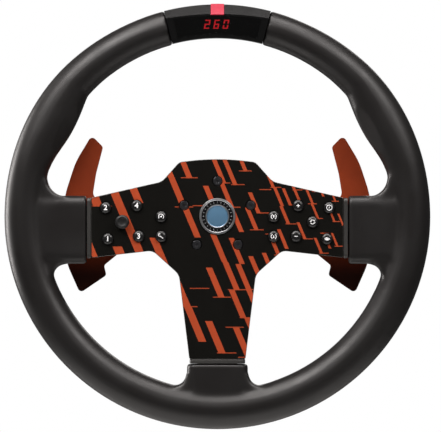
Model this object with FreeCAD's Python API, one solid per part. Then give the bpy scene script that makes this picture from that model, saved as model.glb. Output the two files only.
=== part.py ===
"""Round racing wheel for a home simulator, with a quick-release socket on its back.

Every separate piece is one STEP file in parts/. Millimetres. The steering axis is Y, the
driver sits on the -Y side, +Z is up and +X is the driver's right. The origin is the centre
of the quick-release socket's mouth.
"""
import FreeCAD, Part
import math
import os
from FreeCAD import Vector

# Rim and grip
RIM_PLANE_Y = -61.0            # middle of the grip's section
GRIP_OUTER_R = 160.0
GRIP_INNER_R = 130.4           # lower half
GRIP_TOP_OUTER_R = 159.1       # beside the display
GRIP_TOP_INNER_R = 132.8
GRIP_HALF_DEPTH = 14.0
GRIP_LOWER_END = -30.0         # degrees; the plain lower arc runs from here to its mirror image
GRIP_STATION_STEP = 3.5        # degrees between the lofted sections
GRIP_SECTION_POINTS = 16
THUMB_REST = 5.8               # how far the thumb rest stands in from the inner radius
THUMB_REST_ANGLES = (13.0, 30.0, 43.0)
THUMB_SWELL = 1.6              # outer swell beside the thumb rest
THUMB_SWELL_ANGLES = (0.0, 40.0, 68.0)

# Display segment at twelve o'clock
DISPLAY_HALF_ANGLE = 14.6      # degrees
DISPLAY_GAP_ANGLE = 0.25
DISPLAY_INNER_R = 133.4
DISPLAY_OUTER_R = 158.6
DISPLAY_FRONT_Y = -76.0
DISPLAY_WALL = 1.8
BEVEL_R = 234.0                # edge of the sloped band, flatter than the rim itself
BEVEL_TOP_Z = 151.1
LENS_THICKNESS = 1.2
LENS_HALF_ANGLE = 12.6
LENS_INNER_R = 135.8
LENS_TOP_MARGIN = 1.4
LENS_LEDGE = 0.5
MARKER_HALF_WIDTH = 5.0
MARKER_BOTTOM_Z = 150.3
MARKER_PROUD = 0.5
MARKER_END_Y = -62.5
DIGIT_HEIGHT = 9.2
DIGIT_WIDTH = 4.6
DIGIT_STROKE = 1.15
DIGIT_GAP = 0.15               # between neighbouring segments
DIGIT_DEPTH = 0.18
DIGIT_SETBACK = 0.02           # behind the lens
DIGIT_PITCH = 8.1
DIGIT_MIDDLE = (-0.6, 143.4)
DIGIT_LEAN = math.tan(math.radians(9.0))
DIGIT_READING = "260"
MODULE_HALF_WIDTH = 13.0
MODULE_Z = (138.2, 148.6)
DISPLAY_BOARD_REAR_Y = -68.8
DISPLAY_BOARD_THICKNESS = 1.6
DISPLAY_BOARD_HALF_WIDTH = 22.0
DISPLAY_BOARD_Z = (138.5, 149.5)
DISPLAY_CHIP_X = (-14.0, -7.0)
DISPLAY_CHIP_Z = (141.0, 147.0)
DISPLAY_CHIP_HEIGHT = 1.4
DISPLAY_BACK_LIMIT_Y = -44.0   # just behind the rear cover
DISPLAY_POST_R = 3.5
DISPLAY_SCREW_R = 145.5
DISPLAY_SCREW_ANGLE = 12.7     # degrees each side of twelve o'clock

# Metal skeleton
FRAME_FRONT_Y = -60.0
FRAME_REAR_Y = -55.0
FRAME_RING_R = (139.0, 152.0)
FRAME_HUB_R = 39.0
FRAME_ARM_Z = (-21.0, 9.0)
FRAME_FOOT_HALF_WIDTH = 15.0
FRAME_HOLE_R = 3.5             # lets the grip's rubber lock through the arms
FRAME_HOLE_X = (106.0, 122.0)
FRAME_HOLE_Z = -10.0
FRAME_BLIND_FLOOR = 1.0        # metal left in front of the bracket screws
FRAME_WIRE_HOLE_R = 14.0

# Lead from the display down the ring and along the right arm
LEAD_R = 149.3
LEAD_SIZE = 2.6
LEAD_TURN_R = 10.0
LEAD_TOP_ANGLE = 82.5
LEAD_LEAVES_RING = 4.0
LEAD_END_X = 60.0

# Spoke pads of the grip: side pads by X, foot pad by Z
PAD_FRONT_Y = -71.0
PAD_REAR_Y = -50.5
PAD_INNER_X = 100.0
PAD_INNER_Z = (-33.0, 15.5)
PAD_OUTER_Z = (-40.0, 17.0)
FOOT_TOP_Z = -112.3
FOOT_HALF_WIDTHS = (22.6, 26.0)
PAD_OUTER_REACH = 141.0
PAD_CORNER_R = 4.5
PAD_ROOT_R = 7.0
FOOT_ROOT_R = 6.0

# Collars between hub and pads
COLLAR_X = (94.6, 97.6)
COLLAR_Z = (-31.4, 13.8)
COLLAR_FOOT_Z = (-110.2, -107.2)
COLLAR_FOOT_HALF_WIDTH = 20.8
COLLAR_Y = (-70.6, -50.2)
COLLAR_CORNER_R = 3.0

# Hub outline, right half from the top centre down: x, z, corner radius
HUB_TOP = (0.0, 43.9, 180.0)
HUB_RIGHT = (
    (28.4, 40.6, 6.0),
    (41.6, 25.9, 10.0),
    (94.3, 13.9, 1.5),
    (94.3, -31.0, 1.5),
    (48.5, -25.8, 8.0),
    (28.8, -43.6, 10.0),
    (21.0, -106.9, 1.5),
)
PLATE_FRONT_Y = -70.0
PLATE_REAR_Y = -68.0
TRAY_INSET = 0.4
TRAY_WALL = 2.0
TRAY_FLOOR = 1.0
COVER_INSET = 0.7
COVER_WALL = 2.0
COVER_REAR_Y = -50.0
POD_R = 40.0
POD_REAR_Y = -30.0
POD_OPENING_R = 31.5

# Bolts and badge
BOLT_CIRCLE_R = 26.25
BOLT_COUNT = 5
BOLT_R = 2.0
BOLT_HEAD_R = 3.5
BOLT_HEAD_HEIGHT = 2.2
BOLT_CLEARANCE = 0.15
BOLT_SEAT_Y = -67.2
BOLT_CHAMFER = 0.4
BOLT_KEY_R = 1.45
BOLT_KEY_DEPTH = 1.3
COUNTERBORE_FIT = 0.4
BOLT_END_Y = -49.5
BADGE_R = 13.5
BADGE_DISC_R = 8.0
BADGE_FRONT_Y = -70.9
BADGE_LIPS = (1.6, 0.9)        # widths of the ring's outer and inner lip
BADGE_GROOVE = 0.4
BADGE_DISC_RECESS = 0.3
BADGE_DOME_R = 60.0

# Buttons: x, z on the right side; the left side is the mirror image
BUTTON_PLACES = {
    "outer_top": (83.6, 6.4),
    "inner_top": (60.4, 7.9),
    "inner_bottom": (58.9, -15.0),
    "outer_bottom": (82.0, -17.0),
    "hub_top": (42.1, -0.3),
    "hub_bottom": (42.1, -15.2),
}
STICK_PLACE = (-71.2, -4.3)    # on the left arm; the right arm has a button at its mirror image
BUTTON_R = 4.15
BUTTON_CLEARANCE = 0.3
BUTTON_TIP_Y = -72.5
BUTTON_BACK_Y = -67.0
BUTTON_FLANGE_Y = -67.7
BUTTON_FLANGE_R = 5.2
BUTTON_EDGE_R = 1.2
STEM_R = 1.2
STEM_END_Y = -65.2
BOARD_Y = (-63.2, -61.6)
BOARD_X = (36.0, 90.5)
BOARD_Z = (-22.0, 11.5)
SWITCH_HALF = 3.0
SWITCH_TOP_Y = -65.9
SWITCH_HOLE_R = 1.6
SWITCH_HOLE_END_Y = -63.9
BOARD_STUD_R = 2.0

# Thumb stick
STICK_PIVOT_Y = -65.0
STICK_HOLE_R = 3.6
STICK_HAT_R = 5.3
STICK_HAT_Y = (-75.7, -71.5)
STICK_HAT_EDGE_R = 1.6
STICK_DISH_R = 9.0
STICK_DISH_DEPTH = 0.7
STICK_NECK_R = 2.0
STICK_BASE_HALF = 6.5
STICK_BASE_FRONT_Y = -67.0
STICK_BASE_BORE_R = 5.4
GIMBAL_R = (3.6, 4.7)
GIMBAL_HALF = 0.6
YOKE_R = 2.6
YOKE_HALF = 1.1
TRUNNION_R = 0.5
TRUNNION_FIT = 0.06
SHAFT_R = 1.25
SHAFT_FIT = 0.05

# Main board in the foot of the hub
MAIN_BOARD_HALF_WIDTH = 15.0
MAIN_BOARD_Z = (-100.0, -50.0)
MAIN_BOARD_PARTS = (           # x limits, z limits and height of each block on the board
    ((-6.0, 6.0), (-78.0, -66.0), 1.5),
    ((-12.0, -4.0), (-58.0, -53.0), 3.2),
    ((4.0, 12.0), (-58.0, -53.0), 3.2),
    ((-11.0, -5.0), (-94.0, -89.0), 1.2),
)
MAIN_CAPACITOR = (2.2, 3.4, 9.0, -90.0)   # radius, height, x, z
BOARD_STUD_INSET = 3.0
BOARD_PLUG_X = (47.0, 53.0)
BOARD_PLUG_Z = (-9.0, -4.0)
BOARD_PLUG_HEIGHT = 2.6

# Shift paddles and their brackets, right side
PADDLE_Y = (-43.0, -40.0)
PADDLE_PIVOT = (66.0, -43.5)   # x, y of the hinge line
KNUCKLE_R = 3.5
KNUCKLE_Z = (-13.6, 9.6)
PIN_R = 1.5
PIN_FIT = 0.05
EAR_Z = ((-18.0, -14.0), (10.0, 14.0))
EAR_HALF_WIDTH = 4.0
BRACKET_X = (48.0, 81.0)
BRACKET_BASE_Y = (-50.0, -48.0)
MAGNET_X = 54.0
MAGNET_Z = -2.0
MAGNET_R = 4.0
MAGNET_CUP_R = 5.2
MAGNET_GAP_Y = -45.85          # middle of the gap between the two magnets
MAGNET_GAP = 0.3
MAGNET_LENGTH = 2.6
MAGNET_PROUD = 0.5
PADDLE_SWITCH_X = (72.5, 79.5)
PADDLE_SWITCH_Z = (-9.0, 4.0)
PADDLE_SWITCH_TOP_Y = -44.8
PADDLE_SWITCH_TIP_Y = -44.3
PADDLE_OUTLINE = (
    (48.5, -9.0, 3.0),
    (71.5, -13.6, 1.5),
    (74.5, -28.0, 4.0),
    (85.6, -37.1, 2.5),
    (83.8, -44.5, 2.5),
    (103.7, -58.0, 3.0),
    (113.4, -36.2, 40.0),
    (116.6, -10.0, 60.0),
    (115.3, 15.3, 60.0),
    (107.0, 41.0, 60.0),
    (94.9, 61.0, 3.0),
    (86.3, 52.3, 3.0),
    (91.6, 32.0, 40.0),
    (94.6, 13.0, 6.0),
    (71.5, 9.6, 2.0),
    (48.5, 5.0, 3.0),
)

# Screws
SCREW_R = 1.25
SCREW_HEAD_R = 2.5
SCREW_HEAD_HEIGHT = 1.8
SCREW_FIT = 0.3
SCREW_HEAD_FIT = 0.2
COVER_SCREW_RECESS = 1.2
SCREW_SOCKET_R = 1.0
SCREW_SOCKET_DEPTH = 1.1
COVER_POST_R = 3.6
BOLT_POST_R = 5.0
DISPLAY_SCREW_SEAT_Y = -49.6
DISPLAY_SCREW_END_Y = -66.0
COVER_SCREWS = ((87.0, -9.0), (22.0, -62.0), (14.0, -99.0))
BRACKET_SCREWS = ((51.5, -14.5), (51.5, 10.5), (77.5, -14.5), (77.5, 10.5))

# Quick release
QR_BORE_R = 15.0
QR_BORE_DEPTH = 44.0
QR_BARREL_R = 21.0
QR_FLANGE_R = 31.0
QR_FLANGE_FRONT_Y = -55.0
QR_FLANGE_REAR_Y = -49.0
QR_BALLS = 6
QR_BALL_R = 3.0
QR_BALL_CENTRE_R = 18.05
QR_BALL_HOLE_R = 3.05
QR_BALL_LIP_R = 1.9
QR_BALL_LIP = 0.5
QR_BALL_Y = -11.0
QR_SLEEVE_Y = (-36.0, -2.4)
QR_SLEEVE_R = 27.5
QR_SLEEVE_LIP_R = 29.0
QR_SLEEVE_FIT = 0.06
QR_LAND_Y = (-16.0, -7.7)
QR_RELIEF_R = 22.6
QR_SPRING_ROOM_R = 25.0
QR_SPRING_R = 23.2
QR_SPRING_WIRE_R = 0.8
QR_SPRING_TURNS = 5.5
QR_SPRING_RUNS = 24            # straight runs in one turn
QR_CLIP_Y = (-1.9, -0.9)
QR_CLIP_R = (20.0, 22.6)
QR_CONTACT_R = 9.0
QR_CONTACT_PINS = 6
QR_CONTACT_PIN_R = 0.8
QR_CONTACT_CIRCLE_R = 5.5
QR_CONTACT_FACE_Y = -45.0
QR_CONTACT_TIP_Y = -44.1       # pressed in by the spindle, just clear of the bore's end
QR_GRIPS = 18                  # scallops round the sleeve
QR_GRIP_R = 2.4
QR_GRIP_CENTRE_R = 28.9
QR_LIP_LENGTH = 6.0
QR_CLIP_GAP = 2.0

AXIS = Vector(0, 1, 0)
ORIGIN = Vector(0, 0, 0)
EPS = 0.1                      # how far a cutter runs past the face it opens


# ---------------------------------------------------------------- small tools

def disc(radius, y_from, y_to, x=0.0, z=0.0):
    """Round solid along Y."""
    return Part.makeCylinder(radius, y_to - y_from, Vector(x, y_from, z), AXIS)


def tube(outer, inner, y_from, y_to, x=0.0, z=0.0):
    """Round tube along Y."""
    bore = disc(inner, y_from - EPS, y_to + EPS, x, z)
    return disc(outer, y_from, y_to, x, z).cut(bore)


def block(x_range, y_range, z_range):
    """Box between three pairs of limits."""
    size = [high - low for low, high in (x_range, y_range, z_range)]
    return Part.makeBox(*size, Vector(x_range[0], y_range[0], z_range[0]))


def rod(radius, start, end):
    """Round solid between two points."""
    run = end - start
    return Part.makeCylinder(radius, run.Length, start, run)


def mirrored(shape):
    """The same piece on the other side of the wheel."""
    return shape.mirror(ORIGIN, Vector(1, 0, 0))


def on_circle(radius, degrees, y=0.0):
    """Point on a circle about the steering axis, from +X towards +Z."""
    turn = math.radians(degrees)
    return Vector(radius * math.cos(turn), y, radius * math.sin(turn))


def fused(shapes):
    """One solid from touching or overlapping solids."""
    return shapes[0].multiFuse(shapes[1:]).removeSplitter()


def rounded_wire(corners, place):
    """Straight runs with a tangent arc at each corner (a, b, radius); place puts (a, b) in space."""
    points = [place(a, b) for a, b, _ in corners]
    arcs = []
    for index, (_, _, radius) in enumerate(corners):
        here = points[index]
        back = (points[index - 1] - here).normalize()
        ahead = (points[(index + 1) % len(points)] - here).normalize()
        half = back.getAngle(ahead) / 2
        setback = radius / math.tan(half)
        inward = (back + ahead).normalize() * (radius / math.sin(half) - radius)
        arcs.append((here + back * setback, here + inward, here + ahead * setback))
    edges = []
    for index, arc in enumerate(arcs):
        next_start = arcs[(index + 1) % len(arcs)][0]
        edges.append(Part.Arc(*arc).toShape())
        edges.append(Part.LineSegment(arc[2], next_start).toShape())
    return Part.Wire(edges)


def plate(corners, y_from, y_to, inset=0.0):
    """Flat plate with a rounded outline given as (x, z, radius) corners."""
    face = Part.Face(rounded_wire(corners, lambda a, b: Vector(a, y_from, b)))
    if inset:
        face = face.makeOffset2D(-inset)
    return face.extrude(Vector(0, y_to - y_from, 0))


def box_corners(a_range, b_range, radius):
    """Corners of a rounded rectangle."""
    (a0, a1), (b0, b1) = a_range, b_range
    return [(a0, b0, radius), (a1, b0, radius), (a1, b1, radius), (a0, b1, radius)]


def arc_band(centre, radius, degrees, width, y_range):
    """Flat curved bar of a given width round a centre (x, z)."""
    hub = Vector(centre[0], y_range[0], centre[1])
    inner, outer = radius - width / 2, radius + width / 2
    start, end = degrees
    middle = (start + end) / 2
    outside = Part.Arc(*[hub + on_circle(outer, angle) for angle in (start, middle, end)])
    inside = Part.Arc(*[hub + on_circle(inner, angle) for angle in (end, middle, start)])
    edges = [
        outside.toShape(),
        Part.LineSegment(outside.EndPoint, inside.StartPoint).toShape(),
        inside.toShape(),
        Part.LineSegment(inside.EndPoint, outside.StartPoint).toShape(),
    ]
    return Part.Face(Part.Wire(edges)).extrude(Vector(0, y_range[1] - y_range[0], 0))


def save(name, shape):
    """Write one node, after a check that it is sound."""
    if not shape.isValid():
        raise ValueError(name + " is not a valid solid")
    shape.exportStep("parts/" + name + ".step")
    print(f"{name:32s} solids {len(shape.Solids):2d}  volume {shape.Volume:10.1f}")


# ---------------------------------------------------------------- outlines

def hub_outline():
    """Whole hub outline, the right half and its mirror image."""
    left = [(-x, z, radius) for x, z, radius in reversed(HUB_RIGHT)]
    return [HUB_TOP, *HUB_RIGHT, *left]


def wedge(half_angle, y_from, y_to, start_r=100.0, reach=200.0):
    """Wedge about twelve o'clock, used to cut rings to the display's length."""
    side = math.tan(math.radians(half_angle))
    corners = [(-start_r * side, start_r), (start_r * side, start_r), (reach * side, reach),
               (-reach * side, reach)]
    points = [Vector(x, y_from, z) for x, z in corners]
    return Part.Face(Part.makePolygon(points + points[:1])).extrude(Vector(0, y_to - y_from, 0))


def bump(angle, limits):
    """Smooth hill of height 1 that starts, peaks and ends at the given angles."""
    start, peak, end = limits
    if not start < angle < end:
        return 0.0
    run = (angle - start) / (peak - start) if angle < peak else (end - angle) / (end - peak)
    return (1 - math.cos(math.pi * run)) / 2


def grip_radii(angle):
    """Outer and inner radius of the grip at an angle above the horizontal."""
    rise = min(max(angle / 50.0, 0.0), 1.0)
    outer = GRIP_OUTER_R + (GRIP_TOP_OUTER_R - GRIP_OUTER_R) * rise
    inner = GRIP_INNER_R + (GRIP_TOP_INNER_R - GRIP_INNER_R) * rise
    outer += THUMB_SWELL * bump(angle, THUMB_SWELL_ANGLES)
    inner -= THUMB_REST * bump(angle, THUMB_REST_ANGLES)
    return outer, inner


def grip_section(angle, radii, half_depth):
    """Oval section of the rim at one angle."""
    outer, inner = radii
    middle, half_width = (outer + inner) / 2, (outer - inner) / 2
    points = []
    for step in range(GRIP_SECTION_POINTS):
        turn = 2 * math.pi * step / GRIP_SECTION_POINTS
        y = RIM_PLANE_Y + half_depth * math.sin(turn)
        points.append(on_circle(middle + half_width * math.cos(turn), angle, y))
    curve = Part.BSplineCurve()
    curve.interpolate(Points=points, PeriodicFlag=True)
    return Part.Wire(curve.toShape())


# ---------------------------------------------------------------- skeleton and lead

def lead_channel():
    """Way of the display's lead: down the ring, round a bend and inward along the right arm."""
    y_range = (FRAME_FRONT_Y, FRAME_FRONT_Y + LEAD_SIZE)
    turn_centre = on_circle(LEAD_R - LEAD_TURN_R, LEAD_LEAVES_RING)
    line_z = turn_centre.z - LEAD_TURN_R
    half = LEAD_SIZE / 2
    down = arc_band((0, 0), LEAD_R, (LEAD_LEAVES_RING, LEAD_TOP_ANGLE), LEAD_SIZE, y_range)
    turn = arc_band((turn_centre.x, turn_centre.z), LEAD_TURN_R, (-90.0, LEAD_LEAVES_RING),
                    LEAD_SIZE, y_range)
    inward = block((LEAD_END_X - half, turn_centre.x), y_range, (line_z - half, line_z + half))
    return fused([down, turn, inward]), line_z


def lead_ends(line_z):
    """Short risers that take the lead to the display board and to the button board."""
    half = LEAD_SIZE / 2
    top = on_circle(LEAD_R, LEAD_TOP_ANGLE - 0.6)
    display_end = block((top.x - half, top.x + half), (DISPLAY_BOARD_REAR_Y, FRAME_FRONT_Y),
                        (top.z - half, top.z + half))
    hub_end = block((LEAD_END_X - half, LEAD_END_X + half), (BOARD_Y[1], FRAME_FRONT_Y),
                    (line_z - half, line_z + half))
    return display_end, hub_end


def rim_frame(channel):
    """Cut metal plate: ring, three spokes and hub."""
    y_range = (FRAME_FRONT_Y, FRAME_REAR_Y)
    mid_r = sum(FRAME_RING_R) / 2
    ring = tube(FRAME_RING_R[1], FRAME_RING_R[0], *y_range)
    arms = block((-mid_r, mid_r), y_range, FRAME_ARM_Z)
    foot = block((-FRAME_FOOT_HALF_WIDTH, FRAME_FOOT_HALF_WIDTH), y_range, (-mid_r, 0.0))
    plate_solid = fused([ring, arms, foot, disc(FRAME_HUB_R, *y_range)])
    cutters = [disc(FRAME_WIRE_HOLE_R, y_range[0] - EPS, y_range[1] + EPS), channel]
    for x, z in bolt_places():
        cutters.append(disc(BOLT_R + BOLT_CLEARANCE, y_range[0] - EPS, y_range[1] + EPS, x, z))
    for x, z in cover_screw_places() + display_screw_places():
        cutters.append(disc(SCREW_R, y_range[0] - EPS, y_range[1] + EPS, x, z))
    for x, z in bracket_screw_places():
        cutters.append(disc(SCREW_R, y_range[0] + FRAME_BLIND_FLOOR, y_range[1] + EPS, x, z))
    for side in (-1, 1):
        for x in FRAME_HOLE_X:
            cutters.append(disc(FRAME_HOLE_R, y_range[0] - EPS, y_range[1] + EPS,
                                side * x, FRAME_HOLE_Z))
    return plate_solid.cut(cutters)


# ---------------------------------------------------------------- places of fasteners

def bolt_places():
    """Five hub bolts, one at the top."""
    step = 360.0 / BOLT_COUNT
    points = [on_circle(BOLT_CIRCLE_R, 90.0 + step * index) for index in range(BOLT_COUNT)]
    return [(point.x, point.z) for point in points]


def both_sides(places):
    """Places and their mirror images."""
    return [(side * x, z) for x, z in places for side in (1, -1)]


def cover_screw_places():
    """Screws that hold the hub's rear cover."""
    return both_sides(COVER_SCREWS)


def bracket_screw_places():
    """Screws that hold the two paddle brackets."""
    return both_sides(BRACKET_SCREWS)


def display_screw_places():
    """Screws that clamp the display's two covers on the ring."""
    points = [on_circle(DISPLAY_SCREW_R, 90.0 + side * DISPLAY_SCREW_ANGLE) for side in (1, -1)]
    return [(point.x, point.z) for point in points]


# ---------------------------------------------------------------- grip

def grip_ring():
    """Grip along the rim, open at the display."""
    top_end = 90.0 - DISPLAY_HALF_ANGLE - DISPLAY_GAP_ANGLE
    count = round((top_end - GRIP_LOWER_END) / GRIP_STATION_STEP)
    step = (top_end - GRIP_LOWER_END) / count
    sections = []
    for index in range(count + 1):
        angle = GRIP_LOWER_END + step * index
        sections.append(grip_section(angle, grip_radii(angle), GRIP_HALF_DEPTH))
    upper = Part.makeLoft(sections, True, False)
    start = Part.Face(grip_section(GRIP_LOWER_END, grip_radii(GRIP_LOWER_END), GRIP_HALF_DEPTH))
    lower = start.revolve(ORIGIN, AXIS, 180.0 + 2 * GRIP_LOWER_END)
    return upper.fuse([lower, mirrored(upper)])


def spoke_pads():
    """Right pad, left pad and foot pad, each a little wider at the rim."""
    y_range = (PAD_FRONT_Y, PAD_REAR_Y)
    side_wires = []
    for x, z_range in ((PAD_INNER_X, PAD_INNER_Z), (PAD_OUTER_REACH, PAD_OUTER_Z)):
        corners = box_corners(z_range, y_range, PAD_CORNER_R)
        side_wires.append(rounded_wire(corners, lambda a, b, x=x: Vector(x, b, a)))
    right = Part.makeLoft(side_wires, True, True)
    foot_wires = []
    for z, half in zip((FOOT_TOP_Z, -PAD_OUTER_REACH), FOOT_HALF_WIDTHS):
        corners = box_corners((-half, half), y_range, PAD_CORNER_R)
        foot_wires.append(rounded_wire(corners, lambda a, b, z=z: Vector(a, b, z)))
    return right, mirrored(right), Part.makeLoft(foot_wires, True, True)


def root_edges(body, pad, ring):
    """Edges where a pad runs into the rim."""
    found = []
    for edge in body.Edges:
        middle = Part.Vertex(edge.valueAt((edge.FirstParameter + edge.LastParameter) / 2))
        if max(middle.distToShape(solid.Shells[0])[0] for solid in (pad, ring)) < 0.001:
            found.append(edge)
    return found


def rim_grip(frame, channel):
    """Overmoulded grip with its three pads, hollow where the metal skeleton runs."""
    ring = grip_ring()
    pads = spoke_pads()
    body = ring.fuse(list(pads))
    for pad, radius in zip(pads, (PAD_ROOT_R, PAD_ROOT_R, FOOT_ROOT_R)):
        body = body.makeFillet(radius, root_edges(body, pad, ring))
    return body.cut(frame).cut(channel)


# ---------------------------------------------------------------- display segment

def bevel_cone(margin, y_from, y_to):
    """Cone whose face is the display's sloped top band, moved in by a margin."""
    centre = Vector(0, y_from, BEVEL_TOP_Z - BEVEL_R)
    start = BEVEL_R - margin + (y_from - DISPLAY_FRONT_Y)
    return Part.makeCone(start, start + (y_to - y_from), y_to - y_from, centre, AXIS)


def display_body(grow=0.0):
    """Outer shape of the display's front half."""
    front = DISPLAY_FRONT_Y - grow
    ring = tube(DISPLAY_OUTER_R + grow, DISPLAY_INNER_R, front, RIM_PLANE_Y)
    sector = ring.common(wedge(DISPLAY_HALF_ANGLE, front, RIM_PLANE_Y))
    return sector.common(bevel_cone(-grow, front, RIM_PLANE_Y))


def lens_area(margin, y_from, y_to):
    """Area of the display's lens, moved in by a margin."""
    top = disc(BEVEL_R - LENS_TOP_MARGIN - margin, y_from, y_to, 0.0, BEVEL_TOP_Z - BEVEL_R)
    ring = tube(DISPLAY_OUTER_R, LENS_INNER_R + margin, y_from, y_to)
    half_angle = LENS_HALF_ANGLE - math.degrees(margin / DISPLAY_OUTER_R)
    return ring.common(wedge(half_angle, y_from, y_to)).common(top)


def display_cavity():
    """Room inside the front cover, behind the lens."""
    y_range = (DISPLAY_FRONT_Y + 2 * DISPLAY_WALL, RIM_PLANE_Y + EPS)
    ring = tube(DISPLAY_OUTER_R - DISPLAY_WALL, DISPLAY_INNER_R + DISPLAY_WALL, *y_range)
    half_angle = DISPLAY_HALF_ANGLE - math.degrees(DISPLAY_WALL / DISPLAY_OUTER_R)
    room = ring.common(wedge(half_angle, *y_range))
    return room.common(bevel_cone(DISPLAY_WALL * math.sqrt(2), *y_range))


def marker_slot():
    """Slot over the top edge for the centre marker."""
    half = MARKER_HALF_WIDTH
    return block((-half, half), (DISPLAY_FRONT_Y - 1.0, MARKER_END_Y),
                 (MARKER_BOTTOM_Z, DISPLAY_OUTER_R + 2.0))


def display_front_cover():
    """Front shell with a lens seat, the marker's slot and two screw posts."""
    front = DISPLAY_FRONT_Y
    shell = display_body().cut(lens_area(0.0, front - EPS, front + LENS_THICKNESS))
    shell = shell.cut(lens_area(LENS_LEDGE, front, front + 2 * DISPLAY_WALL + EPS))
    shell = shell.cut(display_cavity()).cut(marker_slot())
    posts = [disc(DISPLAY_POST_R, front + 2 * DISPLAY_WALL - EPS, RIM_PLANE_Y, x, z)
             for x, z in display_screw_places()]
    shell = shell.fuse(posts)
    holes = [disc(SCREW_R, DISPLAY_SCREW_END_Y, FRAME_FRONT_Y + EPS, x, z)
             for x, z in display_screw_places()]
    return shell.cut(holes)


def center_marker():
    """Translucent light guide that wraps over the top edge."""
    return display_body(MARKER_PROUD).common(marker_slot())


def display_rear_cover(frame):
    """Rear shell, round like the grip, with two screw posts."""
    radii = (DISPLAY_OUTER_R, DISPLAY_INNER_R)
    inner_radii = (DISPLAY_OUTER_R - DISPLAY_WALL, DISPLAY_INNER_R + DISPLAY_WALL)
    solids = []
    for section_radii, half_depth in ((radii, GRIP_HALF_DEPTH + 0.5),
                                      (inner_radii, GRIP_HALF_DEPTH + 0.5 - DISPLAY_WALL)):
        face = Part.Face(grip_section(0.0, section_radii, half_depth))
        solids.append(face.revolve(ORIGIN, AXIS, 360.0))
    outer = solids[0].common(wedge(DISPLAY_HALF_ANGLE, RIM_PLANE_Y, DISPLAY_BACK_LIMIT_Y))
    half_angle = DISPLAY_HALF_ANGLE - math.degrees(DISPLAY_WALL / DISPLAY_OUTER_R)
    shell = outer.cut(solids[1].common(wedge(half_angle, RIM_PLANE_Y - EPS, DISPLAY_BACK_LIMIT_Y)))
    for x, z in display_screw_places():
        post = disc(DISPLAY_POST_R, FRAME_REAR_Y, DISPLAY_BACK_LIMIT_Y, x, z).common(outer)
        shell = shell.fuse(post)
        shank = disc(SCREW_R + SCREW_FIT, FRAME_REAR_Y - EPS, DISPLAY_BACK_LIMIT_Y, x, z)
        head = disc(SCREW_HEAD_R + SCREW_HEAD_FIT, DISPLAY_SCREW_SEAT_Y, DISPLAY_BACK_LIMIT_Y, x, z)
        shell = shell.cut([shank, head])
    return shell.cut(frame)


def screw(x, z, head_seat_y, end_y):
    """Pan-head screw whose head faces the rear."""
    head = disc(SCREW_HEAD_R, head_seat_y, head_seat_y + SCREW_HEAD_HEIGHT, x, z)
    head_top = head_seat_y + SCREW_HEAD_HEIGHT
    socket = disc(SCREW_SOCKET_R, head_top - SCREW_SOCKET_DEPTH, head_top + EPS, x, z)
    return disc(SCREW_R, end_y, head_seat_y, x, z).fuse(head).cut(socket)


def digit_segments(centre_x, glyph):
    """Lit segments of one seven-segment figure, leaning a little to the right."""
    half_w, half_h, stroke = DIGIT_WIDTH / 2, DIGIT_HEIGHT / 2, DIGIT_STROKE
    gap = DIGIT_GAP
    bars = {
        "a": (-half_w, half_w, half_h - stroke, half_h),
        "g": (-half_w, half_w, -stroke / 2, stroke / 2),
        "d": (-half_w, half_w, -half_h, -half_h + stroke),
        "f": (-half_w, -half_w + stroke, stroke / 2 + gap, half_h - stroke - gap),
        "b": (half_w - stroke, half_w, stroke / 2 + gap, half_h - stroke - gap),
        "e": (-half_w, -half_w + stroke, -half_h + stroke + gap, -stroke / 2 - gap),
        "c": (half_w - stroke, half_w, -half_h + stroke + gap, -stroke / 2 - gap),
    }
    lit = {"2": "abged", "6": "afgedc", "0": "abcdef"}[glyph]
    y = DISPLAY_FRONT_Y + LENS_THICKNESS + DIGIT_SETBACK
    solids = []
    for name in lit:
        left, right, low, high = bars[name]
        corners = [(left, low), (right, low), (right, high), (left, high)]
        points = [Vector(centre_x + a + b * DIGIT_LEAN, y, DIGIT_MIDDLE[1] + b) for a, b in corners]
        face = Part.Face(Part.makePolygon(points + points[:1]))
        solids.append(face.extrude(Vector(0, DIGIT_DEPTH, 0)))
    return solids


def display_digits():
    """Three lit figures behind the lens."""
    solids = []
    for index, glyph in enumerate(DIGIT_READING):
        centre_x = DIGIT_MIDDLE[0] + (index - 1) * DIGIT_PITCH
        solids.extend(digit_segments(centre_x, glyph))
    return Part.makeCompound(solids)


def display_module():
    """Body of the LED module."""
    front = DISPLAY_FRONT_Y + LENS_THICKNESS + DIGIT_SETBACK + DIGIT_DEPTH
    half = MODULE_HALF_WIDTH
    return block((-half, half), (front, DISPLAY_BOARD_REAR_Y - DISPLAY_BOARD_THICKNESS), MODULE_Z)


def display_board():
    """Circuit board behind the LED module, with a driver chip."""
    rear_y = DISPLAY_BOARD_REAR_Y
    half = DISPLAY_BOARD_HALF_WIDTH
    board = block((-half, half), (rear_y - DISPLAY_BOARD_THICKNESS, rear_y), DISPLAY_BOARD_Z)
    chip = block(DISPLAY_CHIP_X, (rear_y, rear_y + DISPLAY_CHIP_HEIGHT), DISPLAY_CHIP_Z)
    return board.fuse(chip)


# ---------------------------------------------------------------- hub

def button_places(side):
    """Names and places of the buttons on one side; the stick takes the left middle place."""
    places = {name: (side * x, z) for name, (x, z) in BUTTON_PLACES.items()}
    if side > 0:
        places["middle"] = (-STICK_PLACE[0], STICK_PLACE[1])
    return places


def all_button_places():
    """Every push button's place."""
    return [place for side in (-1, 1) for place in button_places(side).values()]


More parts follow.
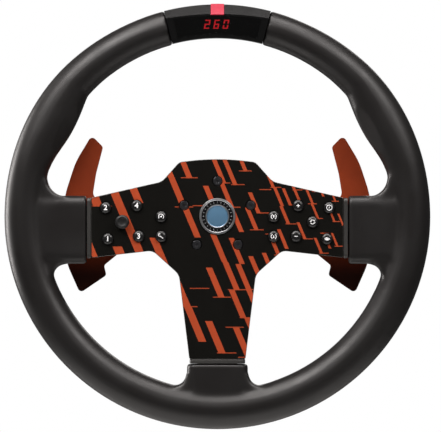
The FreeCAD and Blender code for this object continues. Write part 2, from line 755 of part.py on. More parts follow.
def faceplate():
    """Front plate with its openings."""
    body = plate(hub_outline(), PLATE_FRONT_Y, PLATE_REAR_Y)
    y_range = (PLATE_FRONT_Y - EPS, PLATE_REAR_Y + EPS)
    cutters = [disc(BADGE_R + 0.1, *y_range), disc(STICK_HOLE_R, *y_range, *STICK_PLACE)]
    for x, z in all_button_places():
        cutters.append(disc(BUTTON_R + BUTTON_CLEARANCE, *y_range, x, z))
    for x, z in bolt_places():
        cutters.append(disc(BOLT_HEAD_R + COUNTERBORE_FIT, *y_range, x, z))
    return body.cut(cutters)


def board_studs(x_range, z_range, floor_y):
    """Four short studs under a board's corners."""
    studs = []
    for x in (x_range[0] + BOARD_STUD_INSET, x_range[1] - BOARD_STUD_INSET):
        for z in (z_range[0] + BOARD_STUD_INSET, z_range[1] - BOARD_STUD_INSET):
            studs.append(disc(BOARD_STUD_R, BOARD_Y[1], floor_y, x, z))
    return studs


def hub_tray(channel_z):
    """Front housing: wall, floor, bolt posts and board studs."""
    outer = plate(hub_outline(), PLATE_REAR_Y, FRAME_FRONT_Y, TRAY_INSET)
    floor_y = FRAME_FRONT_Y - TRAY_FLOOR
    room = plate(hub_outline(), PLATE_REAR_Y - EPS, floor_y, TRAY_INSET + TRAY_WALL)
    body = outer.cut(room)
    posts = [tube(BADGE_R, BADGE_R - TRAY_WALL, PLATE_REAR_Y, floor_y)]
    posts += [disc(BOLT_POST_R, BOLT_SEAT_Y, floor_y, x, z) for x, z in bolt_places()]
    for side in (-1, 1):
        x_range = sorted(side * x for x in BOARD_X)
        posts += board_studs(x_range, BOARD_Z, floor_y)
    posts += board_studs((-MAIN_BOARD_HALF_WIDTH, MAIN_BOARD_HALF_WIDTH), MAIN_BOARD_Z, floor_y)
    body = body.fuse(posts)
    half = LEAD_SIZE / 2
    cutters = [disc(BOLT_R + BOLT_CLEARANCE, BOLT_SEAT_Y - EPS, FRAME_FRONT_Y + EPS, x, z)
               for x, z in bolt_places()]
    cutters += [disc(BOLT_HEAD_R + COUNTERBORE_FIT, PLATE_REAR_Y - EPS, BOLT_SEAT_Y, x, z)
                for x, z in bolt_places()]
    cutters.append(block((LEAD_END_X - half, LEAD_END_X + half), (floor_y - EPS, FRAME_FRONT_Y + EPS),
                         (channel_z - half, channel_z + half)))
    return body.cut(cutters)


def hub_rear_cover(frame):
    """Rear housing: shallow arms and a round pod for the quick release."""
    outer = plate(hub_outline(), FRAME_FRONT_Y, COVER_REAR_Y, COVER_INSET)
    outer = outer.fuse(disc(POD_R, COVER_REAR_Y - EPS, POD_REAR_Y))
    floor_y = COVER_REAR_Y - COVER_WALL
    room = plate(hub_outline(), FRAME_FRONT_Y - EPS, floor_y, COVER_INSET + COVER_WALL)
    pod_room = disc(POD_R - COVER_WALL, floor_y - EPS, POD_REAR_Y - COVER_WALL)
    body = outer.cut(room).cut(pod_room)
    body = body.cut(disc(POD_OPENING_R, POD_REAR_Y - COVER_WALL - EPS, POD_REAR_Y + EPS))
    posts = []
    for x, z in cover_screw_places() + bracket_screw_places():
        posts.append(disc(COVER_POST_R, FRAME_REAR_Y, floor_y + EPS, x, z))
    body = body.fuse(posts)
    holes = []
    for x, z in cover_screw_places():
        holes.append(disc(SCREW_R + SCREW_FIT, FRAME_REAR_Y - EPS, COVER_REAR_Y + EPS, x, z))
        seat_y = COVER_REAR_Y - COVER_SCREW_RECESS
        holes.append(disc(SCREW_HEAD_R + SCREW_HEAD_FIT, seat_y, COVER_REAR_Y + EPS, x, z))
    for x, z in bracket_screw_places():
        holes.append(disc(SCREW_R + SCREW_FIT, FRAME_REAR_Y - EPS, COVER_REAR_Y + EPS, x, z))
    body = body.cut(holes)
    return body.cut(frame)


def rear_screws():
    """Like screws driven from behind: rear cover, paddle brackets and display covers."""
    groups = (
        (cover_screw_places(), COVER_REAR_Y - COVER_SCREW_RECESS, FRAME_FRONT_Y + 0.5),
        (bracket_screw_places(), BRACKET_BASE_Y[1], FRAME_FRONT_Y + 1.5),
        (display_screw_places(), DISPLAY_SCREW_SEAT_Y, DISPLAY_SCREW_END_Y),
    )
    solids = []
    for places, seat_y, end_y in groups:
        solids += [screw(x, z, seat_y, end_y) for x, z in places]
    return Part.makeCompound(solids)


def hub_bolt(x, z):
    """Socket-head bolt whose head faces the driver."""
    head = disc(BOLT_HEAD_R, BOLT_SEAT_Y - BOLT_HEAD_HEIGHT, BOLT_SEAT_Y, x, z)
    front = BOLT_SEAT_Y - BOLT_HEAD_HEIGHT
    rim = [edge for edge in head.Edges if abs(edge.BoundBox.YMax - front) < 0.01]
    head = head.makeChamfer(BOLT_CHAMFER, rim)
    corners = [on_circle(BOLT_KEY_R, 60.0 * index + 30.0, front - EPS) for index in range(6)]
    points = [corner + Vector(x, 0, z) for corner in corners]
    key = Part.Face(Part.makePolygon(points + points[:1]))
    key = key.extrude(Vector(0, BOLT_KEY_DEPTH + EPS, 0))
    return disc(BOLT_R, BOLT_SEAT_Y, BOLT_END_Y, x, z).fuse(head).cut(key)


def hub_bolts():
    """Five bolts that clamp hub, skeleton and quick release together."""
    return Part.makeCompound([hub_bolt(x, z) for x, z in bolt_places()])


def emblem_ring():
    """Outer ring of the badge."""
    ring = tube(BADGE_R, BADGE_DISC_R, BADGE_FRONT_Y, PLATE_REAR_Y)
    groove = tube(BADGE_R - BADGE_LIPS[0], BADGE_DISC_R + BADGE_LIPS[1],
                  BADGE_FRONT_Y - EPS, BADGE_FRONT_Y + BADGE_GROOVE)
    return ring.cut(groove)


def emblem_disc():
    """Plain domed centre of the badge."""
    front = BADGE_FRONT_Y + BADGE_DISC_RECESS
    dome = Part.makeSphere(BADGE_DOME_R, Vector(0, front + BADGE_DOME_R, 0))
    return disc(BADGE_DISC_R, front, PLATE_REAR_Y).common(dome)


def main_board():
    """Controller board in the foot, with its processor, plugs and capacitor."""
    half = MAIN_BOARD_HALF_WIDTH
    board = block((-half, half), BOARD_Y, MAIN_BOARD_Z)
    front = BOARD_Y[0]
    items = []
    for x_range, z_range, height in MAIN_BOARD_PARTS:
        items.append(block(x_range, (front - height, front), z_range))
    radius, height, x, z = MAIN_CAPACITOR
    items.append(disc(radius, front - height, front, x, z))
    return board.fuse(items)


# ---------------------------------------------------------------- buttons and boards

def button(x, z):
    """Round cap with a soft edge, a hidden flange and a stem."""
    cap = disc(BUTTON_R, BUTTON_TIP_Y, BUTTON_BACK_Y, x, z)
    tip = [edge for edge in cap.Edges if abs(edge.BoundBox.YMax - BUTTON_TIP_Y) < 0.01]
    cap = cap.makeFillet(BUTTON_EDGE_R, tip)
    flange = disc(BUTTON_FLANGE_R, BUTTON_FLANGE_Y, BUTTON_BACK_Y, x, z)
    stem = disc(STEM_R, BUTTON_BACK_Y - EPS, STEM_END_Y, x, z)
    return fused([cap, flange, stem])


def button_board(side):
    """Circuit board under the buttons of one arm."""
    x_range = sorted(side * x for x in BOARD_X)
    board = plate(box_corners(x_range, BOARD_Z, 2.0), *BOARD_Y)
    plug_x = sorted(side * x for x in BOARD_PLUG_X)
    plug = block(plug_x, (BOARD_Y[0] - BOARD_PLUG_HEIGHT, BOARD_Y[0]), BOARD_PLUG_Z)
    return board.fuse(plug)


def button_switches(side):
    """Tactile switches of one arm."""
    solids = []
    for x, z in button_places(side).values():
        half = SWITCH_HALF
        case = block((x - half, x + half), (SWITCH_TOP_Y, BOARD_Y[0]), (z - half, z + half))
        hole = disc(SWITCH_HOLE_R, SWITCH_TOP_Y - EPS, SWITCH_HOLE_END_Y, x, z)
        solids.append(case.cut(hole))
    return Part.makeCompound(solids)


# ---------------------------------------------------------------- thumb stick

def stick_point(y, dx=0.0, dz=0.0):
    """Point beside the stick's pivot."""
    return Vector(STICK_PLACE[0] + dx, y, STICK_PLACE[1] + dz)


def stick_base():
    """Square housing with bearings for the gimbal's trunnions."""
    x, z = STICK_PLACE
    half = STICK_BASE_HALF
    body = block((x - half, x + half), (STICK_BASE_FRONT_Y, BOARD_Y[0]), (z - half, z + half))
    body = body.cut(disc(STICK_BASE_BORE_R, STICK_BASE_FRONT_Y - EPS, BOARD_Y[0] + EPS, x, z))
    bearing = rod(TRUNNION_R + TRUNNION_FIT, stick_point(STICK_PIVOT_Y, -half + 0.3),
                  stick_point(STICK_PIVOT_Y, half - 0.3))
    return body.cut(bearing)


def stick_gimbal():
    """Ring that tips up and down on two side trunnions."""
    inner, outer = GIMBAL_R
    low, high = STICK_PIVOT_Y - GIMBAL_HALF, STICK_PIVOT_Y + GIMBAL_HALF
    ring = tube(outer, inner, low, high, *STICK_PLACE)
    pins = []
    for side in (-1, 1):
        start = stick_point(STICK_PIVOT_Y, side * (inner + 0.4))
        end = stick_point(STICK_PIVOT_Y, side * (STICK_BASE_HALF - 0.5))
        pins.append(rod(TRUNNION_R, start, end))
    ring = fused([ring, *pins])
    bearing = rod(TRUNNION_R + TRUNNION_FIT, stick_point(STICK_PIVOT_Y, 0, -outer - EPS),
                  stick_point(STICK_PIVOT_Y, 0, outer + EPS))
    return ring.cut(bearing)


def stick_yoke():
    """Block inside the ring that tips sideways and guides the shaft."""
    low, high = STICK_PIVOT_Y - YOKE_HALF, STICK_PIVOT_Y + YOKE_HALF
    body = disc(YOKE_R, low, high, *STICK_PLACE)
    pins = []
    for side in (-1, 1):
        start = stick_point(STICK_PIVOT_Y, 0, side * (YOKE_R - 0.4))
        end = stick_point(STICK_PIVOT_Y, 0, side * (GIMBAL_R[1] - 0.1))
        pins.append(rod(TRUNNION_R, start, end))
    body = fused([body, *pins])
    return body.cut(disc(SHAFT_R + SHAFT_FIT, low - EPS, high + EPS, *STICK_PLACE))


def stick_cap():
    """Mushroom hat with a dished top, and its shaft."""
    front, back = STICK_HAT_Y
    hat = disc(STICK_HAT_R, front, back, *STICK_PLACE)
    rim = [edge for edge in hat.Edges if abs(edge.BoundBox.YMax - front) < 0.01]
    hat = hat.makeFillet(STICK_HAT_EDGE_R, rim)
    dish = Part.makeSphere(STICK_DISH_R, stick_point(front - STICK_DISH_R + STICK_DISH_DEPTH))
    hat = hat.cut(dish)
    neck = disc(STICK_NECK_R, back - EPS, STICK_BASE_FRONT_Y + 0.2, *STICK_PLACE)
    shaft = disc(SHAFT_R, STICK_BASE_FRONT_Y + 0.1, STICK_PIVOT_Y + 0.7, *STICK_PLACE)
    return fused([hat, neck, shaft])


# ---------------------------------------------------------------- paddles

def paddle():
    """Right shift paddle: blade above and below the spoke, knuckle and magnet cup."""
    pivot_x, pivot_y = PADDLE_PIVOT
    blade = plate(PADDLE_OUTLINE, *PADDLE_Y)
    knuckle = rod(KNUCKLE_R, Vector(pivot_x, pivot_y, KNUCKLE_Z[0]),
                  Vector(pivot_x, pivot_y, KNUCKLE_Z[1]))
    cup = disc(MAGNET_CUP_R, MAGNET_GAP_Y + MAGNET_GAP / 2 + MAGNET_PROUD, PADDLE_Y[0] + EPS,
               MAGNET_X, MAGNET_Z)
    body = fused([blade, knuckle, cup])
    bore = rod(PIN_R + PIN_FIT, Vector(pivot_x, pivot_y, -40.0), Vector(pivot_x, pivot_y, 40.0))
    return body.cut(bore).cut(paddle_magnet())


def paddle_magnet():
    """Magnet in the paddle's tail."""
    start = MAGNET_GAP_Y + MAGNET_GAP / 2
    return disc(MAGNET_R, start, start + MAGNET_LENGTH, MAGNET_X, MAGNET_Z)


def bracket_magnet():
    """Magnet in the bracket that pulls the paddle back."""
    end = MAGNET_GAP_Y - MAGNET_GAP / 2
    return disc(MAGNET_R, end - MAGNET_LENGTH, end, MAGNET_X, MAGNET_Z)


def paddle_bracket():
    """Bracket base with two pin ears and a magnet cup."""
    pivot_x, pivot_y = PADDLE_PIVOT
    z_range = (EAR_Z[0][0], EAR_Z[1][1])
    body = plate(box_corners(BRACKET_X, z_range, 2.0), *BRACKET_BASE_Y)
    ears = []
    for low, high in EAR_Z:
        ears.append(block((pivot_x - EAR_HALF_WIDTH, pivot_x + EAR_HALF_WIDTH),
                          (BRACKET_BASE_Y[1] - EPS, pivot_y), (low, high)))
        ears.append(rod(EAR_HALF_WIDTH, Vector(pivot_x, pivot_y, low), Vector(pivot_x, pivot_y, high)))
    cup = disc(MAGNET_CUP_R, BRACKET_BASE_Y[1] - EPS, MAGNET_GAP_Y - MAGNET_GAP / 2 - MAGNET_PROUD,
               MAGNET_X, MAGNET_Z)
    body = fused([body, *ears, cup])
    cutters = [paddle_pin(), bracket_magnet()]
    for x, z in BRACKET_SCREWS:
        cutters.append(disc(SCREW_R + 0.2, BRACKET_BASE_Y[0] - EPS, BRACKET_BASE_Y[1] + EPS, x, z))
    return body.cut(cutters)


def paddle_pin():
    """Hinge pin, pressed into the ears."""
    pivot_x, pivot_y = PADDLE_PIVOT
    return rod(PIN_R, Vector(pivot_x, pivot_y, EAR_Z[0][0]), Vector(pivot_x, pivot_y, EAR_Z[1][1]))


def paddle_switch():
    """Microswitch under the blade, with its plunger."""
    case = block(PADDLE_SWITCH_X, (BRACKET_BASE_Y[1], PADDLE_SWITCH_TOP_Y), PADDLE_SWITCH_Z)
    middle_x = sum(PADDLE_SWITCH_X) / 2
    plunger = disc(1.0, PADDLE_SWITCH_TOP_Y - EPS, PADDLE_SWITCH_TIP_Y, middle_x, 0.0)
    return case.fuse(plunger)


# ---------------------------------------------------------------- quick release

def ball_places():
    """Directions of the locking balls."""
    return [360.0 / QR_BALLS * index for index in range(QR_BALLS)]


def qr_socket():
    """Flange and barrel, with radial ball holes and a groove for the clip."""
    flange = disc(QR_FLANGE_R, QR_FLANGE_FRONT_Y, QR_FLANGE_REAR_Y)
    barrel = disc(QR_BARREL_R, QR_FLANGE_FRONT_Y, 0.0)
    body = fused([flange, barrel])
    cutters = [disc(QR_BORE_R, -QR_BORE_DEPTH, EPS),
               disc(QR_CONTACT_R, QR_FLANGE_FRONT_Y - EPS, -QR_BORE_DEPTH + EPS),
               tube(QR_BARREL_R + 1.0, QR_CLIP_R[0], *QR_CLIP_Y)]
    for angle in ball_places():
        centre = Vector(0, QR_BALL_Y, 0)
        way = on_circle(1.0, angle)
        cutters.append(rod(QR_BALL_HOLE_R, centre + way * (QR_BORE_R + QR_BALL_LIP),
                           centre + way * (QR_BARREL_R + 1.0)))
        cutters.append(rod(QR_BALL_LIP_R, centre + way * (QR_BORE_R - 1.0),
                           centre + way * (QR_BARREL_R - 1.0)))
    cutters += [disc(BOLT_R, QR_FLANGE_FRONT_Y - EPS, QR_FLANGE_REAR_Y + EPS, x, z)
                for x, z in bolt_places()]
    return body.cut(cutters)


def qr_balls():
    """Locking balls, drawn level with the bore."""
    return Part.makeCompound([Part.makeSphere(QR_BALL_R, on_circle(QR_BALL_CENTRE_R, angle, QR_BALL_Y))
                              for angle in ball_places()])


def qr_release_ring():
    """Sliding sleeve with a pulling lip, a ball land, a ball relief and room for the spring."""
    low, high = QR_SLEEVE_Y
    lip = disc(QR_SLEEVE_LIP_R, low, low + QR_LIP_LENGTH)
    body = fused([disc(QR_SLEEVE_R, low, high), lip])
    grips = []
    for index in range(QR_GRIPS):
        place = on_circle(QR_GRIP_CENTRE_R, 360.0 / QR_GRIPS * index)
        grips.append(disc(QR_GRIP_R, low + 1.5 * QR_LIP_LENGTH, high - 4.0, place.x, place.z))
    cutters = [disc(QR_BARREL_R + QR_SLEEVE_FIT, low - EPS, high + EPS),
               disc(QR_SPRING_ROOM_R, low - EPS, QR_LAND_Y[0]),
               disc(QR_RELIEF_R, QR_LAND_Y[1], high + EPS)]
    return body.cut(cutters + grips)


def qr_spring():
    """Coil spring between the flange and the sleeve's land, in short straight runs."""
    start_y = QR_FLANGE_REAR_Y + QR_SPRING_WIRE_R
    length = QR_LAND_Y[0] - QR_SPRING_WIRE_R - start_y
    count = round(QR_SPRING_TURNS * QR_SPRING_RUNS)
    points = []
    for index in range(count + 1):
        y = start_y + length * index / count
        points.append(on_circle(QR_SPRING_R, 360.0 / QR_SPRING_RUNS * index, y))
    heading = (points[1] - points[0]).normalize()
    section = Part.Wire(Part.makeCircle(QR_SPRING_WIRE_R, points[0], heading))
    mitred = 1
    return Part.makePolygon(points).makePipeShell([section], True, False, mitred)


def qr_retaining_ring():
    """Open spring clip that stops the sleeve."""
    inner, outer = QR_CLIP_R
    ring = tube(outer, inner, *QR_CLIP_Y)
    gap = block((-QR_CLIP_GAP, QR_CLIP_GAP), (QR_CLIP_Y[0] - EPS, QR_CLIP_Y[1] + EPS),
                (0.0, outer + 1.0))
    return ring.cut(gap)


def qr_contacts():
    """Contact block at the bottom of the bore, with sprung pins."""
    base = disc(QR_CONTACT_R, QR_FLANGE_FRONT_Y, QR_CONTACT_FACE_Y)
    pins = []
    for index in range(QR_CONTACT_PINS):
        place = on_circle(QR_CONTACT_CIRCLE_R, 360.0 / QR_CONTACT_PINS * index)
        pins.append(disc(QR_CONTACT_PIN_R, QR_CONTACT_FACE_Y - 0.5, QR_CONTACT_TIP_Y, place.x, place.z))
    return fused([base, *pins])


# ---------------------------------------------------------------- collars

def side_collar(frame):
    """Collar between the right arm and the right pad."""
    corners = box_corners(COLLAR_Z, COLLAR_Y, COLLAR_CORNER_R)
    face = Part.Face(rounded_wire(corners, lambda a, b: Vector(COLLAR_X[0], b, a)))
    return face.extrude(Vector(COLLAR_X[1] - COLLAR_X[0], 0, 0)).cut(frame)


def foot_collar(frame):
    """Collar between the hub's foot and the foot pad."""
    half = COLLAR_FOOT_HALF_WIDTH
    corners = box_corners((-half, half), COLLAR_Y, COLLAR_CORNER_R)
    face = Part.Face(rounded_wire(corners, lambda a, b: Vector(a, b, COLLAR_FOOT_Z[0])))
    return face.extrude(Vector(0, 0, COLLAR_FOOT_Z[1] - COLLAR_FOOT_Z[0])).cut(frame)


# ---------------------------------------------------------------- whole wheel

def save_rim():
    """Skeleton, grip, collars, display and lead."""
    channel, line_z = lead_channel()
    frame = rim_frame(channel)
    lead = fused([channel, *lead_ends(line_z)])
    solid_frame = frame.fuse(channel)
    save("rim_frame", frame)
    save("rim_grip", rim_grip(frame, channel))
    save("spoke_trim_right", side_collar(solid_frame))
    save("spoke_trim_left", mirrored(side_collar(mirrored(solid_frame))))
    save("spoke_trim_bottom", foot_collar(solid_frame))
    save("display_front_cover", display_front_cover())
    save("display_rear_cover", display_rear_cover(solid_frame))
    save("display_window", lens_area(0.0, DISPLAY_FRONT_Y, DISPLAY_FRONT_Y + LENS_THICKNESS))
    save("display_digits", display_digits())
    save("display_module", display_module())
    save("display_board", display_board())
    save("display_lead", lead)
    save("center_marker", center_marker())
    return solid_frame, line_z


def save_hub(frame, line_z):
    """Plate, housings, badge, bolts, boards and controls."""
    save("faceplate", faceplate())
    save("hub_tray", hub_tray(line_z))
    save("hub_rear_cover", hub_rear_cover(frame))
    save("rear_screws", rear_screws())
    save("hub_bolts", hub_bolts())
    save("emblem_ring", emblem_ring())
    save("emblem_disc", emblem_disc())
    save("main_board", main_board())
    for side, word in ((-1, "left"), (1, "right")):
        save("button_board_" + word, button_board(side))
        save("button_switches_" + word, button_switches(side))
        for name, place in button_places(side).items():
            save(f"button_{word}_{name}", button(*place))
    save("stick_base", stick_base())
    save("stick_gimbal", stick_gimbal())
    save("stick_yoke", stick_yoke())
    save("stick_cap", stick_cap())


def save_paddles():
    """Both shift paddles with their brackets."""
    makers = {
        "paddle": paddle,
        "paddle_magnet": paddle_magnet,
        "paddle_bracket": paddle_bracket,
        "paddle_pin": paddle_pin,
        "bracket_magnet": bracket_magnet,
        "paddle_switch": paddle_switch,
    }
    for name, make in makers.items():
        shape = make()
        save(name + "_right", shape)
        save(name + "_left", mirrored(shape))


def save_quick_release():
    """Socket, sleeve, spring, balls, clip and contacts."""
    save("qr_socket", qr_socket())
    save("qr_release_ring", qr_release_ring())
    save("qr_spring", qr_spring())
    save("qr_balls", qr_balls())
    save("qr_retaining_ring", qr_retaining_ring())
    save("qr_contacts", qr_contacts())


def main():
    """Build and write every piece."""
    os.makedirs("parts", exist_ok=True)
    frame, line_z = save_rim()
    save_hub(frame, line_z)
    save_paddles()
    save_quick_release()


main()
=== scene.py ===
"""Racing wheel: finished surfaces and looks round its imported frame.

The steering axis is Y, the driver sits on the -Y side, +Z is up and +X is the driver's right.
The origin is the mouth of the quick-release socket. Lengths are metres; sizes are written in
millimetres times MM.
"""
import logging
import math
from contextlib import contextmanager
from dataclasses import dataclass, field
from enum import Enum
from itertools import pairwise
from typing import Iterator, Optional

import bmesh
import bpy
from mathutils import Matrix, Vector


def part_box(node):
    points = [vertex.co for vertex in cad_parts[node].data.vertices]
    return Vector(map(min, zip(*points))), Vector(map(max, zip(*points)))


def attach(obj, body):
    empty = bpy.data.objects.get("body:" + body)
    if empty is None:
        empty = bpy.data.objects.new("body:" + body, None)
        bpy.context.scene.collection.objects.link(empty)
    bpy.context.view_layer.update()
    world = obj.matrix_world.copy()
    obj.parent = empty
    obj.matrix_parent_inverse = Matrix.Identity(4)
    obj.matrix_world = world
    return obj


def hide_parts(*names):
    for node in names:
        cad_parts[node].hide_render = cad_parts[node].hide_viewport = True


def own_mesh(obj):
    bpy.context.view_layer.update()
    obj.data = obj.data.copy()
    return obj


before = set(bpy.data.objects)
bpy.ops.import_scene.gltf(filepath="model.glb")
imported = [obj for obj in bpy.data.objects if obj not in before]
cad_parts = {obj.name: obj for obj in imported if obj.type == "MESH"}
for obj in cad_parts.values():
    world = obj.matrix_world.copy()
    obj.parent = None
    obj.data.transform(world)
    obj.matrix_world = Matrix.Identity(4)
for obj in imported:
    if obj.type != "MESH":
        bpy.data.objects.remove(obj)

LOG = logging.getLogger("racing_wheel")
MM = 0.001
WELD = 2e-6
FLAT_ANGLE = 1.0   # degrees; flatter joins between faces are dissolved
EDGE_ANGLE = 32.0  # degrees; sharper edges are rounded
Profile = list[tuple[float, float]]


# ---------------------------------------------------------------- bench

def deselect() -> None:
    """Leave nothing selected."""
    bpy.ops.object.select_all(action="DESELECT")


def only(piece: bpy.types.Object) -> None:
    """Select one piece and make it the active one."""
    deselect()
    piece.select_set(True)
    bpy.context.view_layer.objects.active = piece


@contextmanager
def editing(piece: bpy.types.Object, kind: str = "FACE") -> Iterator[None]:
    """Open a piece in edit mode with nothing selected.

    Args:
        piece: the mesh to edit.
        kind: VERT, EDGE or FACE, what is selected.
    """
    only(piece)
    bpy.ops.object.mode_set(mode="EDIT")
    bpy.ops.mesh.select_mode(type=kind)
    bpy.ops.mesh.select_all(action="DESELECT")
    try:
        yield
    finally:
        bpy.ops.object.mode_set(mode="OBJECT")


def named(name: str) -> bpy.types.Object:
    """Name the piece that was just added, and move its place into its mesh.

    Args:
        name: the piece's name.

    Returns:
        The piece.
    """
    piece = bpy.context.view_layer.objects.active
    piece.name = name
    piece.data.name = name
    only(piece)
    bpy.ops.object.transform_apply(location=True, rotation=True, scale=True)
    return piece


def box(name: str, low: Vector, high: Vector) -> bpy.types.Object:
    """Add a box between two corners.

    Args:
        name: the piece's name.
        low: lowest corner.
        high: highest corner.

    Returns:
        The new piece.
    """
    deselect()
    bpy.ops.mesh.primitive_cube_add(size=1.0, location=(low + high) / 2, scale=high - low)
    return named(name)


def rod(name: str, radius: float, start: Vector, end: Vector, sides: int = 48) -> bpy.types.Object:
    """Add a round bar between two points.

    Args:
        name: the piece's name.
        radius: its radius.
        start: middle of one end.
        end: middle of the other end.
        sides: sides of its section.

    Returns:
        The new piece.
    """
    run = end - start
    deselect()
    bpy.ops.mesh.primitive_cylinder_add(vertices=sides, radius=radius, depth=run.length,
                                        location=(start + end) / 2,
                                        rotation=run.to_track_quat("Z", "Y").to_euler())
    return named(name)


def lathe(name: str, profile: Profile, x: float = 0.0, z: float = 0.0,
          steps: int = 48) -> bpy.types.Object:
    """Turn a profile about a line along Y.

    Args:
        name: the piece's name.
        profile: (radius, y) points, from end to end.
        x: place of the line.
        z: place of the line.
        steps: faces round the piece.

    Returns:
        The new piece, closed where the profile meets the line.
    """
    radius, y = profile[0]
    deselect()
    bpy.ops.mesh.primitive_plane_add(size=MM, location=(x + radius, y, z))
    piece = named(name)
    with editing(piece, "VERT"):
        bpy.ops.mesh.select_all(action="SELECT")
        bpy.ops.mesh.merge(type="CENTER")
        for here, there in pairwise(profile):
            step = (there[0] - here[0], there[1] - here[1], 0.0)
            bpy.ops.mesh.extrude_vertices_move(TRANSFORM_OT_translate={"value": step})
        bpy.ops.mesh.select_all(action="SELECT")
        bpy.ops.mesh.spin(steps=steps, angle=math.tau, center=(x, 0.0, z), axis=(0.0, 1.0, 0.0))
        weld()
    return piece


def weld() -> None:
    """Merge doubles in the open piece and point its faces outwards."""
    bpy.ops.mesh.select_all(action="SELECT")
    bpy.ops.mesh.remove_doubles(threshold=WELD)
    bpy.ops.mesh.normals_make_consistent(inside=False)


def modified(piece: bpy.types.Object, kind: str, **settings: object) -> None:
    """Add a modifier with settings and apply it.

    Args:
        piece: the piece to change.
        kind: the modifier's type.
        settings: the modifier's own settings.
    """
    only(piece)
    modifier = piece.modifiers.new(kind.title(), kind)
    for name, value in settings.items():
        setattr(modifier, name, value)
    bpy.ops.object.modifier_apply(modifier=modifier.name)


def carved(piece: bpy.types.Object, cutter: bpy.types.Object) -> None:
    """Cut one piece out of another and throw the cutter away."""
    modified(piece, "BOOLEAN", object=cutter, operation="DIFFERENCE", solver="EXACT")
    bpy.data.objects.remove(cutter)


def joined(name: str, pieces: list[bpy.types.Object]) -> bpy.types.Object:
    """Join pieces into the first one.

    Args:
        name: what the joined piece is called.
        pieces: the pieces, of which the first stays.

    Returns:
        The joined piece.
    """
    only(pieces[0])
    for piece in pieces[1:]:
        piece.select_set(True)
    bpy.ops.object.join()
    return named(name)


def duplicate(source: bpy.types.Object, name: str) -> bpy.types.Object:
    """Copy a piece with a mesh of its own, riding on nothing.

    Args:
        source: the piece or CAD node to copy.
        name: the copy's name.

    Returns:
        The copy.
    """
    twin = source.copy()
    twin.data = source.data.copy()
    for key in list(twin.keys()):
        del twin[key]
    twin.parent = None
    twin.hide_render = twin.hide_viewport = False
    bpy.context.scene.collection.objects.link(twin)
    twin.name = twin.data.name = name
    return twin


def mirrored(source: bpy.types.Object, name: str) -> bpy.types.Object:
    """Copy a piece to the other side of the wheel.

    Args:
        source: the piece to copy.
        name: the copy's name.

    Returns:
        The copy.
    """
    twin = duplicate(source, name)
    with editing(twin):
        bpy.ops.mesh.select_all(action="SELECT")
        bpy.ops.transform.resize(value=(-1.0, 1.0, 1.0), center_override=(0.0, 0.0, 0.0))
        weld()
    return twin


def smooth(piece: bpy.types.Object, degrees: float = 35.0) -> None:
    """Shade a piece smooth, with edges sharper than an angle kept crisp."""
    only(piece)
    bpy.ops.object.shade_smooth_by_angle(angle=math.radians(degrees))


def middle_of(node: str) -> Vector:
    """Middle of a CAD node's box."""
    low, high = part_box(node)
    return (low + high) / 2.0


def around(radius: float, degrees: float, y: float = 0.0) -> Vector:
    """Point on a circle about the steering axis, from +X towards +Z."""
    turn = math.radians(degrees)
    return Vector((radius * math.cos(turn), y, radius * math.sin(turn)))


# ---------------------------------------------------------------- shader graphs

class Graph:
    """A node tree with short calls for adding and linking nodes."""

    def __init__(self, tree: bpy.types.NodeTree) -> None:
        """Keep the tree to build in."""
        self.tree = tree

    def add(self, kind: str, inputs: Optional[dict] = None, **settings: object) -> bpy.types.Node:
        """Add a node.

        Args:
            kind: the node's type.
            inputs: values or links by socket name or number.
            settings: the node's own settings.

        Returns:
            The new node.
        """
        node = self.tree.nodes.new(kind)
        for name, value in settings.items():
            setattr(node, name, value)
        for socket, value in (inputs or {}).items():
            if isinstance(value, bpy.types.NodeSocket):
                self.tree.links.new(value, node.inputs[socket])
            else:
                node.inputs[socket].default_value = value
        return node

    def math(self, operation: str, *values: object) -> bpy.types.NodeSocket:
        """One step of arithmetic on sockets or numbers."""
        return self.add("ShaderNodeMath", dict(enumerate(values)), operation=operation).outputs[0]

    def mix(self, factor: object, first: object, second: object) -> bpy.types.NodeSocket:
        """Mix two colours by a factor."""
        node = self.add("ShaderNodeMix", {0: factor, 6: first, 7: second}, data_type="RGBA")
        return node.outputs[2]

    def blend(self, factor: object, low: float, high: float) -> bpy.types.NodeSocket:
        """Number that runs from low to high as a factor runs from 0 to 1."""
        return self.math("MULTIPLY_ADD", factor, high - low, low)

    def step(self, value: object, edge: float, width: float) -> bpy.types.NodeSocket:
        """Soft step from 0 to 1 where a value passes an edge."""
        inputs = {"Value": value, "From Min": edge - width, "From Max": edge + width}
        return self.add("ShaderNodeMapRange", inputs, interpolation_type="SMOOTHSTEP").outputs[0]

    def feed(self, node: bpy.types.Node, **sockets: bpy.types.NodeSocket) -> None:
        """Link values to a node's inputs, which are named with _ for each blank."""
        for name, value in sockets.items():
            self.tree.links.new(value, node.inputs[name.replace("_", " ")])

    def per_metre(self, per_mm: object) -> bpy.types.NodeSocket:
        """Number a millimetre turned into a number a metre."""
        return self.math("MULTIPLY", per_mm, 1.0 / MM)

    def place(self) -> bpy.types.NodeSocket:
        """Coordinates that are fixed to the piece, in metres."""
        return self.add("ShaderNodeTexCoord").outputs["Object"]

    def noise(self, place: object, per_mm: float, detail: float = 2.0) -> bpy.types.NodeSocket:
        """Soft noise with a number of features to a millimetre."""
        inputs = {"Vector": place, "Scale": per_mm / MM, "Detail": detail}
        return self.add("ShaderNodeTexNoise", inputs).outputs["Fac"]


